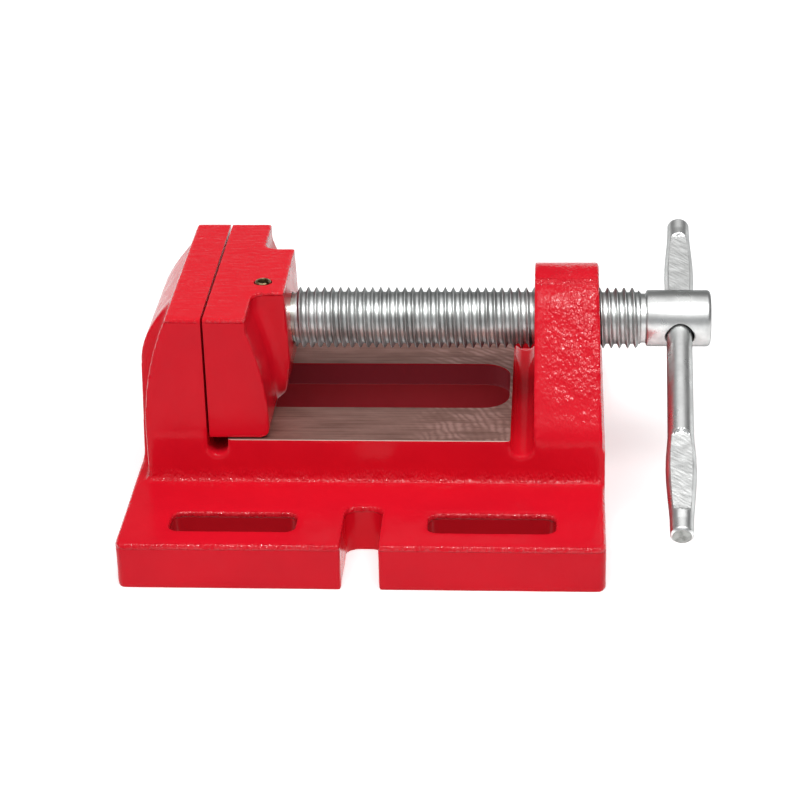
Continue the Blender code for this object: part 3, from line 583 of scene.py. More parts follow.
@dataclass(frozen=True)
class RedEnamel:
    """Glossy alkyd enamel, sprayed on a sand casting that was dressed by hand.

    The eye sees an even deep red. The light breaks into small white sparkles where the enamel took up
    the grain of the sand, most of all on the lug. The jaw tops show the long strokes of the grinder
    under the paint, and are painted a lighter red as painted highlight. The guide slot and the bolt slots
    are painted a darker red as painted shade, the hollow under the slot a paler red, and the slot and the
    hollow are rougher.
    """

    name: str = "red_enamel_on_sand_casting"
    red: str = "DF1427"
    deep_red: str = "D71225"
    # The jaw tops' red is lighter, as painted highlight; the guide slot's and the bolt slots' reds are darker, as
    # painted shade.
    jaw_top_highlight_red: str = "E81C2B"
    recess_shade_red: str = "A83440"
    hollow_red: str = "D8404C"
    bolt_slot_shade_red: str = "C01824"

    # The sand's own grain, about 0.3 mm, would not show: it is drawn as coarse as it needs to.
    sand_mm: float = 0.6
    peel_mm: tuple[float, float, float] = (0.8, 1.0, 1.4)
    lump_mm: float = 5.0
    patch_mm: float = 24.0
    stroke_mm: tuple[float, float, float] = (5.0, 1.2, 4.0)

    # Heights of the lumps, grains and strokes
    lump_height: float = 0.2 * MM
    grain_height: float = 0.5 * MM
    stroke_height: float = 0.13 * MM
    least_grain: float = 0.05

    roughness: float = 0.18
    recess_roughness: float = 0.3
    specular_level: float = 0.15
    ior: float = 1.47
    bead_weight: float = 0.5
    bead_roughness: float = 0.12

    # Where the grain shows: on the lug, along the feet of the walls, along the flange's upper rims but not
    # in the hollow, and along the edges of the jaws' tops but not in the slit between them
    lug: Region = (
        Limit(Axis.X, 98.5, 110.0, high=0.8, smooth=True), Limit(Axis.Z, 25.0, 54.0, low=0.08, smooth=True))
    feet: Region = (Limit(Axis.Z, 20.0, 16.0, high=0.9, smooth=True), Limit(Axis.Z, 15.0, 15.6))
    rims: Region = (Limit(Axis.Z, 0.95, 0.65, middle=14.0), Limit(Axis.Y, 30.0, 32.0, middle=0.0))
    edges: Region = (Limit(Axis.Z, 0.65, 0.4, middle=68.35), Limit(Axis.X, 1.1, 1.7, middle=0.5))

    # Where it was ground under the paint, and where a lighter red is painted as painted highlight: the jaws' tops
    tops: Region = (Limit(Axis.Z, 67.8, 68.8, smooth=True), Limit(Axis.X, 60.0, 50.0))

    # Where the red changes: painted shade in the guide slot and the bolt slots, and a paler red in the hollow under the
    # slot
    slot: Region = (
        Limit(Axis.Y, 16.7, 16.2, middle=0.0), Limit(Axis.Z, 29.0, 28.4), Limit(Axis.X, 93.4, 92.6),
        Limit(Axis.X, 0.3, 0.8))
    hollow: Region = (
        Limit(Axis.Y, 29.6, 29.2, middle=0.0), Limit(Axis.Z, 21.3, 20.7), Limit(Axis.X, 96.4, 95.6),
        Limit(Axis.X, 0.3, 0.8))
    bolt_slots: Region = (
        Limit(Axis.Z, 15.0, 12.5), Limit(Axis.Y, 57.0, 58.5, middle=0.0), Limit(Axis.Y, 72.0, 70.5, middle=0.0),
        Limit(Axis.X, 18.0, 19.0, middle=49.2), Limit(Axis.X, 59.5, 58.5, middle=49.2))

    def grain_depth(self, coat: Coating, lump: bpy.types.NodeSocket) -> bpy.types.NodeSocket:
        """How deep the sand's grain is: deep high on the lug, along the feet and rims, else shallow.

        Args:
            coat: The material under way.
            lump: Slow noise that thins the grain out here and there.

        Returns:
            The depth, from 0 to 1.
        """
        tree, depths = coat.tree, []
        for first, second, thinned, full, least in (
                (self.lug, self.feet, 0.4, 0.56, 0.45), (self.rims, self.edges, 0.38, 0.5, 0.65)):
            either = add(tree, "Math", {0: coat.region(first), 1: coat.region(second)}, operation="MAXIMUM")
            patchy = add(tree, "MapRange", {"Value": lump, "From Min": thinned, "From Max": full, "To Min": least})
            depths.append(add(tree, "Math", {0: either, 1: patchy}, operation="MULTIPLY"))
        depth = add(tree, "Math", dict(enumerate(depths)), operation="MAXIMUM")
        return add(tree, "Math", {0: depth, 1: self.least_grain}, operation="ADD")

    def build(self) -> bpy.types.Material:
        """Make the material.

        Returns:
            The material.
        """
        coat = Coating(self.name)
        tree, place = coat.tree, coat.place
        stretched = add(tree, "Mapping", {"Vector": place, "Scale": per_metre(*self.peel_mm)})
        peel = add(tree, "TexNoise", {"Vector": stretched, "Scale": 1.0, "Detail": 0.5, "Distortion": 0.5})
        sand, lump, patch = (
            add(tree, "TexNoise", {"Vector": place, "Scale": per_metre(spacing), "Detail": detail})
            for spacing, detail in ((self.sand_mm, 1.0), (self.lump_mm, 2.0), (self.patch_mm, 2.0)))
        grains = add(tree, "Math", {0: sand, 1: 0.15, 2: peel}, operation="MULTIPLY_ADD")
        depth = self.grain_depth(coat, lump)
        grains = add(tree, "Math", {0: grains, 1: depth}, operation="MULTIPLY")
        beads = add(tree, "Math", {0: depth, 1: 3.0}, operation="POWER")
        beads = add(tree, "Math", {0: beads, 1: self.bead_weight}, operation="MULTIPLY")
        along = add(tree, "Mapping", {"Vector": place, "Scale": per_metre(*self.stroke_mm)})
        stroke = add(tree, "TexNoise", {"Vector": along, "Scale": 1.0, "Detail": 3.0})
        # ground marks the jaw tops: their grinding strokes, and the lighter red painted there as painted highlight.
        ground = coat.region(self.tops)
        strokes = add(tree, "Math", {0: stroke, 1: ground}, operation="MULTIPLY")
        bump = add(tree, "Bump", {"Height": lump, "Strength": 0.5, "Distance": self.lump_height})
        for height, distance in ((grains, self.grain_height), (strokes, self.stroke_height)):
            bump = add(tree, "Bump", {"Height": height, "Strength": 1.0, "Distance": distance, "Normal": bump})

        # The slot and bolt slot masks carry painted shade: the guide slot and the bolt slots get a darker red.
        in_slot, in_hollow, dull = (coat.region(limits) for limits in (self.slot, self.hollow, self.bolt_slots))
        in_recess = add(tree, "Math", {0: in_slot, 1: in_hollow}, operation="MAXIMUM")
        colour = add(tree, "ValToRGB", {"Fac": patch}, "Color", {0.35: self.deep_red, 0.65: self.red})
        # Painted light on the enamel: a lighter red on the jaw tops as painted highlight, and a darker red in the guide
        # slot and the bolt slots as painted shade.
        for share, paint in (
                (ground, self.jaw_top_highlight_red), (dull, self.bolt_slot_shade_red), (in_recess, self.recess_shade_red), (in_hollow, self.hollow_red)):
            colour = add(tree, "Mix", {"Factor": share, "A": colour, "B": linear(paint)}, 2, data_type="RGBA")
        gloss = add(tree, "MapRange", {
            "Value": lump, "From Min": 0.3, "From Max": 0.7, "To Min": self.roughness - 0.04,
            "To Max": self.roughness + 0.06})
        gloss = add(tree, "Math", {0: in_recess, 1: self.recess_roughness, 2: gloss}, operation="MULTIPLY_ADD")
        return coat.finish({
            "Base Color": colour, "Roughness": gloss, "Normal": bump, "IOR": self.ior,
            "Specular IOR Level": self.specular_level, "Coat Weight": beads, "Coat Roughness": self.bead_roughness,
            "Coat Normal": bump})


@dataclass(frozen=True)
class MilledIron:
    """Grey cast iron, milled flat and left bare with a film of oil.

    The eye sees a warm grey brown face with fine lengthwise scratches and faint arcs of the cutter towards
    the lug. A pale line is painted along the front and back edges as painted highlight.
    """

    name: str = "milled_grey_iron"
    dark: str = "6F4B41"
    mid: str = "8B665C"
    light: str = "B0877E"
    edge_highlight: str = "F4DDD2"
    roughness: float = 0.46

    # The cutter's feed, under 1 mm a turn, would not show: its arcs are drawn as coarse as they need.
    arc_mm: float = 2.3
    wander_mm: float = 16.0
    scratch_mm: tuple[float, float, float] = (26.0, 0.5, 4.0)
    smear_mm: tuple[float, float, float] = (11.0, 4.0, 6.0)
    scratch_height: float = 0.14 * MM

    # How far the middle of the arcs wanders, and where it is
    wander: Point3 = (4 * MM, 5 * MM, 0.0)
    arc_middle: Point3 = (-36 * MM, 38 * MM, 0.0)

    # Where the arcs show, and the painted highlight line along the front and back edges
    worked: Region = (Limit(Axis.X, 60.0, 74.0, low=0.05, smooth=True),)
    edges: Region = (Limit(Axis.Y, 38.35, 38.6, middle=0.0),)

    def build(self) -> bpy.types.Material:
        """Make the material.

        Returns:
            The material.
        """
        coat = Coating(self.name)
        tree, place = coat.tree, coat.place
        # Each pass of the cutter leaves arcs about a middle that wanders a little.
        wander = add(tree, "TexNoise", {
            "Vector": place, "Scale": per_metre(self.wander_mm), "Detail": 1.0}, "Color")
        bent = add(tree, "VectorMath", {0: wander, 1: self.wander, 2: place}, operation="MULTIPLY_ADD")
        shifted = add(tree, "Mapping", {"Vector": bent, "Location": self.arc_middle})
        arcs = add(tree, "TexWave", {
            "Vector": shifted, "Scale": per_metre(self.arc_mm) * math.tau / 20, "Distortion": 5.0, "Detail": 2.0,
            "Detail Scale": 1.2}, "Fac", wave_type="RINGS", rings_direction="Z")
        smear, scratch = (
            add(tree, "TexNoise", {
                "Vector": add(tree, "Mapping", {"Vector": place, "Scale": per_metre(*spacings)}),
                "Scale": 1.0, "Detail": detail})
            for spacings, detail in ((self.smear_mm, 3.0), (self.scratch_mm, 4.0)))
        patch = add(tree, "MapRange", {"Value": smear, "From Min": 0.44, "From Max": 0.6, "To Min": 0.1})
        marks = add(tree, "Math", {0: arcs, 1: patch}, operation="MULTIPLY")
        marks = add(tree, "Math", {0: marks, 1: coat.region(self.worked)}, operation="MULTIPLY")
        tone = add(tree, "Math", {0: scratch, 1: 0.35}, operation="MULTIPLY")
        for pattern, share in ((smear, 0.25), (marks, 0.3)):
            tone = add(tree, "Math", {0: pattern, 1: share, 2: tone}, operation="MULTIPLY_ADD")
        colour = add(tree, "ValToRGB", {"Fac": tone}, "Color", {0.2: self.dark, 0.31: self.mid, 0.6: self.light})
        # A painted highlight: the pale line along the front and back edges.
        colour = add(tree, "Mix", {
            "Factor": coat.region(self.edges), "A": colour, "B": linear(self.edge_highlight)}, 2, data_type="RGBA")
        gloss = add(tree, "MapRange", {
            "Value": tone, "From Min": 0.3, "From Max": 0.7, "To Min": self.roughness + 0.08,
            "To Max": self.roughness - 0.08})
        relief = add(tree, "Math", {0: marks, 1: 0.7, 2: scratch}, operation="MULTIPLY_ADD")
        bump = add(tree, "Bump", {"Height": relief, "Strength": 0.5, "Distance": self.scratch_height})
        return coat.finish({"Base Color": colour, "Roughness": gloss, "Normal": bump, "Metallic": 0.5})


class Working(Enum):
    """How a zinc plated surface was worked before it was plated."""

    ROLLED = "rolled"
    TURNED = "turned"
    DRAWN = "drawn"
    HAMMERED = "hammered"


@dataclass(frozen=True)
class ZincPlate:
    """Bright zinc plating on steel: a cool silver grey with soft reflections.

    The eye sees fine rings where the steel was turned, long scratches where it was drawn,
    and small dents where it was hammered, all softened by the plating, which darkens at a glancing look.
    """

    working: Working
    light: str = "F0F1F0"
    dark: str = "D4D5D4"
    roughness: float = 0.3

    # The lathe's feed lines, about 0.1 mm apart, would not show: they are drawn as coarse as they need.
    line_mm: tuple[float, float, float] = (0.2, 6.0, 6.0)
    blotch_mm: float = 6.0
    dent_mm: float = 0.8
    relief: float = 0.05 * MM
    glancing: str = "8C9090"

    def build(self) -> bpy.types.Material:
        """Make the material.

        Returns:
            The material.
        """
        coat = Coating("bright_zinc_on_" + self.working.value + "_steel")
        tree, place = coat.tree, coat.place
        line = add(tree, "TexNoise", {
            "Vector": add(tree, "Mapping", {"Vector": place, "Scale": per_metre(*self.line_mm)}),
            "Scale": 1.0, "Detail": 2.0})
        blotch = add(tree, "TexNoise", {"Vector": place, "Scale": per_metre(self.blotch_mm), "Detail": 4.0})
        dent = add(tree, "TexNoise", {"Vector": place, "Scale": per_metre(self.dent_mm), "Detail": 2.0})
        relief = add(tree, "Math", {0: line, 1: dent}, operation="ADD")
        colour = add(tree, "ValToRGB", {"Fac": blotch}, "Color", {0.35: self.dark, 0.6: self.light})
        gloss = add(tree, "MapRange", {
            "Value": blotch, "From Min": 0.3, "From Max": 0.7, "To Min": self.roughness + 0.08,
            "To Max": self.roughness - 0.05})
        bump = add(tree, "Bump", {"Height": relief, "Strength": 0.3, "Distance": self.relief})
        return coat.finish({
            "Base Color": colour, "Roughness": gloss, "Normal": bump, "Metallic": 1.0,
            "Specular Tint": linear(self.glancing)})


@dataclass(frozen=True)
class PlainSteel:
    """Bare, blackened or yellowed steel of the small hardware.

    The eye sees a dull metal, mottled by small stains and pits.
    """

    name: str
    light: str
    dark: str
    roughness: float = 0.4
    stain_mm: float = 2.2
    pit_depth: float = 0.06 * MM

    def build(self) -> bpy.types.Material:
        """Make the material.

        Returns:
            The material.
        """
        coat = Coating(self.name)
        tree, place = coat.tree, coat.place
        stain, pit = (
            add(tree, "TexNoise", {"Vector": place, "Scale": per_metre(spacing), "Detail": detail})
            for spacing, detail in ((self.stain_mm, 3.0), (self.stain_mm / 5, 2.0)))
        colour = add(tree, "ValToRGB", {"Fac": stain}, "Color", {0.35: self.dark, 0.62: self.light})
        gloss = add(tree, "MapRange", {
            "Value": stain, "From Min": 0.3, "From Max": 0.7, "To Min": self.roughness + 0.1,
            "To Max": self.roughness - 0.06})
        bump = add(tree, "Bump", {"Height": pit, "Strength": 0.4, "Distance": self.pit_depth})
        return coat.finish({"Base Color": colour, "Roughness": gloss, "Normal": bump, "Metallic": 1.0})


class Finishes:
    """All the finishes of the vise, made once."""

    def __init__(self) -> None:
        """Make every finish."""
        self.enamel = RedEnamel().build()
        self.milled = MilledIron().build()
        self.rolled = ZincPlate(Working.ROLLED, "CED0CF", "A4A6A5", 0.41).build()
        self.turned = ZincPlate(Working.TURNED, "E6E7E6", "CACBCA").build()
        self.drawn = ZincPlate(Working.DRAWN, "F8F9F8", "E4E5E4", line_mm=(0.3, 5.0, 2.5)).build()
        self.hammered = ZincPlate(
            Working.HAMMERED, "E4E5E4", "CCCDCC", 0.44, dent_mm=0.5, relief=0.16 * MM).build()
        self.nose = PlainSteel("dull_zinc_nose", "D0D6CE", "A4ABA2", 0.3, 3.0).build()
        self.pin = PlainSteel("oiled_spring_steel", "C2AE86", "6E6044", 0.34, 1.0).build()
        self.bore = PlainSteel("tapped_grey_iron", "5C5654", "2B2827", 0.5, 2.0).build()
        self.plate = PlainSteel("hot_rolled_plate", "8D8C89", "5A5957", 0.45, 4.0).build()
        self.bolt = PlainSteel("dull_zinc", "A8A9A6", "828380", 0.36, 2.0).build()
        self.washer = PlainSteel("blackened_washer", "5B5A58", "2E2E2D", 0.38, 1.5).build()


# Castings


@dataclass
class BaseCasting:
    """The base of the vise: flange, ways, fixed jaw with its rib, and the lug, cast in one piece."""

    finishes: Finishes
    layout: Layout = LAYOUT
    allowance: float = 1.2 * MM
    flange_corner: float = 3.0 * MM
    skin: float = 0.08 * MM
    flange_edge: float = 1.2 * MM
    foot_stock: float = 0.3 * MM
    body_end_inset: float = 4.5 * MM
    foot_fillet: float = 1.6 * MM
    jaw_top_thickness: float = 10.5 * MM
    knee_height: float = 31.0 * MM
    rib_width: float = 46.0 * MM
    rib_end_inset: float = 1.7 * MM
    rib_lean: float = 1.6 * MM
    rib_bend_height: float = 47.0 * MM
    rib_crown_pull: Point = (-5.8 * MM, -6.2 * MM)
    rib_foot_pull: float = 8.5 * MM
    groove_depth: float = 5.2 * MM
    jaw_groove_end: float = 6.4 * MM
    slot_width: float = 32.0 * MM
    slot_start: float = 0.6 * MM
    slot_end_margin: float = 0.8 * MM
    slot_corner: float = 3.0 * MM
    slot_end_radius: float = 8.5 * MM
    cavity_start: float = 1.5 * MM
    cavity_width: float = 58.0 * MM
    cavity_reach: float = 3.0 * MM
    cavity_corner: float = 4.0 * MM
    bolt_slot: Point = (38.0 * MM, 11.4 * MM)
    bolt_slot_corner: float = 3.2 * MM
    bolt_slot_draft: float = 1.6 * MM
    bolt_slot_edge: float = 14.5 * MM
    bolt_slot_spacing: float = 77.2 * MM
    notch: Point = (11.2 * MM, 24.0 * MM)
    notch_corner: float = 3.5 * MM
    lug_top_radius: float = 17.35 * MM
    lug_bend_radius: float = 12.0 * MM
    lug_bend_height: float = 26.0 * MM
    lug_draft: float = 2.0 * MM

    # Size of the cast mesh's faces, rounds of smoothing, and height and spacing of the skin's lumps
    voxel: float = 0.8 * MM
    rounds: int = 4
    lumps: Point = (0.14 * MM, 7.0 * MM)

    def block(self, half: float, high: float, end: float) -> bpy.types.Object:
        """The low block under the ways, with filleted feet.

        Args:
            half: Half of its width.
            high: Top of the block.
            end: Where it ends along the screw.

        Returns:
            The block.
        """
        flange = self.layout.flange_height
        wide = half + self.foot_fillet
        fillet = arc((wide, flange + self.foot_fillet), self.foot_fillet, 270, 180)
        right = [(wide, flange / 2)] + fillet + [(half, high)]
        left = [(-y, z) for y, z in reversed(right)]
        return prism("block", Plane.END, right + left, self.layout.base_start + self.body_end_inset, end)

    def flange(self) -> bpy.types.Object:
        """Make the base plate, with its upper edge rounded.

        Returns:
            The plate.
        """
        top, edge, skin = self.layout.flange_height, self.flange_edge, self.skin
        half = self.layout.base_width / 2 - skin
        insets = [(0.0, -self.foot_stock)] + [(edge - u, top - edge + v) for u, v in arc((0.0, 0.0), edge, 0, 90, 6)]
        rings = []
        for inset, level in insets:
            outline = rounded_rectangle(
                (self.layout.base_start + skin + inset, -half + inset),
                (self.layout.base_end - skin - inset, half - inset), self.flange_corner - inset)
            rings.append([(x, y, level) for x, y in outline])
        return stack("base_casting", rings)

    def fixed_jaw(self) -> bpy.types.Object:
        """Make the upright behind the gripping face, slightly narrower at its top.

        Returns:
            The upright.
        """
        foot_back = self.layout.base_start + self.body_end_inset
        low, high = self.layout.way_underside, self.layout.jaw_top_height
        back = back_curve((foot_back, self.knee_height), (-self.jaw_top_thickness, high))
        side = [(self.allowance, low), (self.allowance, high)] + back[::-1] + [(foot_back, low)]
        jaw = prism("fixed_jaw", Plane.SIDE, side, -self.layout.body_width / 2, self.layout.body_width / 2)
        for vert in jaw.data.vertices:
            share = (vert.co.z - low) / (high - low)
            vert.co.y *= 1 - share * (1 - self.layout.jaw_width / self.layout.body_width)
        return jaw

    def rib(self) -> bpy.types.Object:
        """Make the broad rib behind the fixed jaw.

        Returns:
            The rib.
        """
        foot = (self.layout.base_start + self.rib_end_inset, self.rib_bend_height)
        crown = (-self.jaw_top_thickness, self.layout.jaw_top_height - 0.4 * MM)
        pull = (crown[0] + self.rib_crown_pull[0], crown[1] + self.rib_crown_pull[1])
        curve = bezier(crown, pull, (foot[0], foot[1] + self.rib_foot_pull), foot)
        inner, low = -self.jaw_top_thickness / 2, self.layout.flange_height / 2
        side = [(inner, low), (inner, crown[1])] + curve + [(foot[0] - self.rib_lean, low)]
        return prism("rib", Plane.SIDE, side, -self.rib_width / 2, self.rib_width / 2)

    def lug(self) -> bpy.types.Object:
        """Make the lug: an arch on flanks that spread to the body's width and lean back a little.

        Returns:
            The lug.
        """
        half, height = self.layout.body_width / 2, self.layout.screw_height
        bend = (half - self.lug_bend_radius, self.lug_bend_height)
        down = (bend[0], bend[1] - height)
        lean = math.degrees(math.atan2(down[1], down[0])
                            + math.acos((self.lug_top_radius - self.lug_bend_radius) / math.hypot(*down)))
        arch = arc((0.0, height), self.lug_top_radius, lean, 180 - lean, 32)
        right_bend = arc(bend, self.lug_bend_radius, 0, lean)
        left_bend = [(-y, z) for y, z in reversed(right_bend)]
        foot = self.layout.flange_height / 2
        face = [(-half, foot), (half, foot)] + right_bend + arch + left_bend
        lug = prism("lug", Plane.END, face, self.layout.lug_start, self.layout.base_end)
        top = height + self.lug_top_radius
        for vert in lug.data.vertices:
            if vert.co.x > self.layout.lug_start + MM:
                vert.co.x -= self.lug_draft * vert.co.z / top
        return lug

    def cutters(self) -> list[bpy.types.Object]:
        """Make all that is left open in the mould: slots, notches, grooves and the hollow underneath.

        Returns:
            The tools.
        """
        layout = self.layout
        way, underside, deep, over = layout.way_height, layout.way_underside, -2 * MM, layout.flange_height + 2 * MM
        slot_end = layout.end_groove_start - self.slot_end_margin
        half, wide = self.slot_width / 2, self.cavity_width / 2
        slot = rounded_rectangle((self.slot_start, -half), (slot_end, half), self.slot_corner, self.slot_end_radius)
        cavity = rounded_rectangle(
            (self.cavity_start, -wide), (slot_end + self.cavity_reach, wide), self.cavity_corner)
        tools = [
            prism("slot_tool", Plane.PLAN, slot, underside - MM, way + 4 * MM),
            prism("cavity_tool", Plane.PLAN, cavity, deep, underside),
        ]
        grooves = ((layout.grip_stock, self.jaw_groove_end), (layout.end_groove_start, layout.lug_start))
        for start, end in grooves:
            radius = (end - start) / 2
            middle = (start + radius, way - self.groove_depth + radius)
            outline = arc(middle, radius, 180, 360, 16)
            outline += [(start + 2 * radius, way + 3 * MM), (start, way + 3 * MM)]
            tools.append(prism("groove_tool", Plane.SIDE, outline, -layout.body_width, layout.body_width))
        for side in (-1, 1):
            for end in (-1, 1):
                tools.append(self.bolt_slot_tool(side, end, deep, over))
            edge, corner = layout.base_width / 2, self.notch_corner
            outline = rounded_rectangle(
                (edge - self.notch[1], -self.notch[0] / 2), (edge + 4 * corner, self.notch[0] / 2), corner)
            outline = [(layout.base_middle + across, side * along) for along, across in outline]
            tools.append(prism("notch_tool", Plane.PLAN, outline, deep, over))
        return tools

    def bolt_slot_tool(self, side: int, end: int, low: float, high: float) -> bpy.types.Object:
        """One holding-down slot, which narrows downwards.

        Args:
            side: -1 for the front, 1 for the back.
            end: -1 for the jaw's end, 1 for the lug's end.
            low: Lowest level of the tool.
            high: Highest level of the tool.

        Returns:
            The tool.
        """
        length, width = self.bolt_slot
        outline = rounded_rectangle((-length / 2, -width / 2), (length / 2, width / 2), self.bolt_slot_corner)
        tool = prism("bolt_slot_tool", Plane.PLAN, outline, low, high)
        middle = Vector((
            self.layout.base_middle + end * self.bolt_slot_spacing / 2,
            side * (self.layout.base_width / 2 - self.bolt_slot_edge), 0))
        for vert in tool.data.vertices:
            if vert.co.z < high / 2:
                vert.co.x *= 1 - self.bolt_slot_draft / length
                vert.co.y *= 1 - self.bolt_slot_draft / width
            vert.co += middle
        return tool

    def mill(self, casting: bpy.types.Object) -> bpy.types.Object:
        """Machine the ways, the gripping face, the foot and the tapped hole into the casting.

        Args:
            casting: The raw casting.

        Returns:
            The milled one.
        """
        layout = self.layout
        half, start, past = layout.body_width, layout.groove_width / 2, 3 * MM
        end, way, face, sky = layout.end_groove_start + start, layout.way_height, layout.grip_stock, 80 * MM
        ways = [(start, -half), (end, -half), (end, half), (start, half)]
        grip = [(face, way), (past, way), (past, sky), (face, sky)]
        table = [(-0.2, -0.2), (0.3, -0.2), (0.3, 0.2), (-0.2, 0.2)]
        return combine(
            casting, Operation.CUT,
            prism("way_mill", Plane.PLAN, ways, way, way + 2 * past),
            prism("grip_mill", Plane.SIDE, grip, -half, half),
            prism("foot_mill", Plane.PLAN, table, -2 * past, 0.0),
            LeadScrew.threaded_rod("tap", layout.lug_start - past, layout.base_end + past, layout.thread_gap),
            solver="MANIFOLD")

    def build(self) -> bpy.types.Object:
        """Cast, mill and paint the base.

        Returns:
            The finished piece.
        """
        layout = self.layout
        flange, half = self.flange(), layout.body_width / 2
        ways = self.block(half, layout.way_height + self.allowance, layout.lug_start + MM)
        # The feet stand a hair in from the lug's sides, so that no two faces coincide.
        feet = self.block(half - 0.03 * MM, self.lug_bend_height - MM, layout.base_end)
        casting = combine(flange, Operation.JOIN, ways, feet, self.rib(), self.fixed_jaw(), self.lug())
        casting = combine(casting, Operation.CUT, *self.cutters())
        casting = self.mill(sand_cast(casting, self.voxel, self.rounds, *self.lumps))
        give_materials(casting, self.finishes.enamel, self.finishes.milled, self.finishes.bore)
        flat, tiny = 0.98, 0.01 * MM
        paint_faces(casting, 1, lambda middle, normal: (
            (np.abs(middle[:, 2] - layout.way_height) < tiny) & (normal[:, 2] > flat)
            | (np.abs(middle[:, 2]) < tiny) & (normal[:, 2] < -flat)))
        bore = layout.thread_radius + 2 * layout.thread_gap
        paint_faces(casting, 2, lambda middle, normal: (
            (np.hypot(middle[:, 1], middle[:, 2] - layout.screw_height) < bore)
            & (middle[:, 0] > layout.lug_start - MM)))
        smooth_shaded(casting)
        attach(casting, "base")
        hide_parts("vise_body")
        return casting


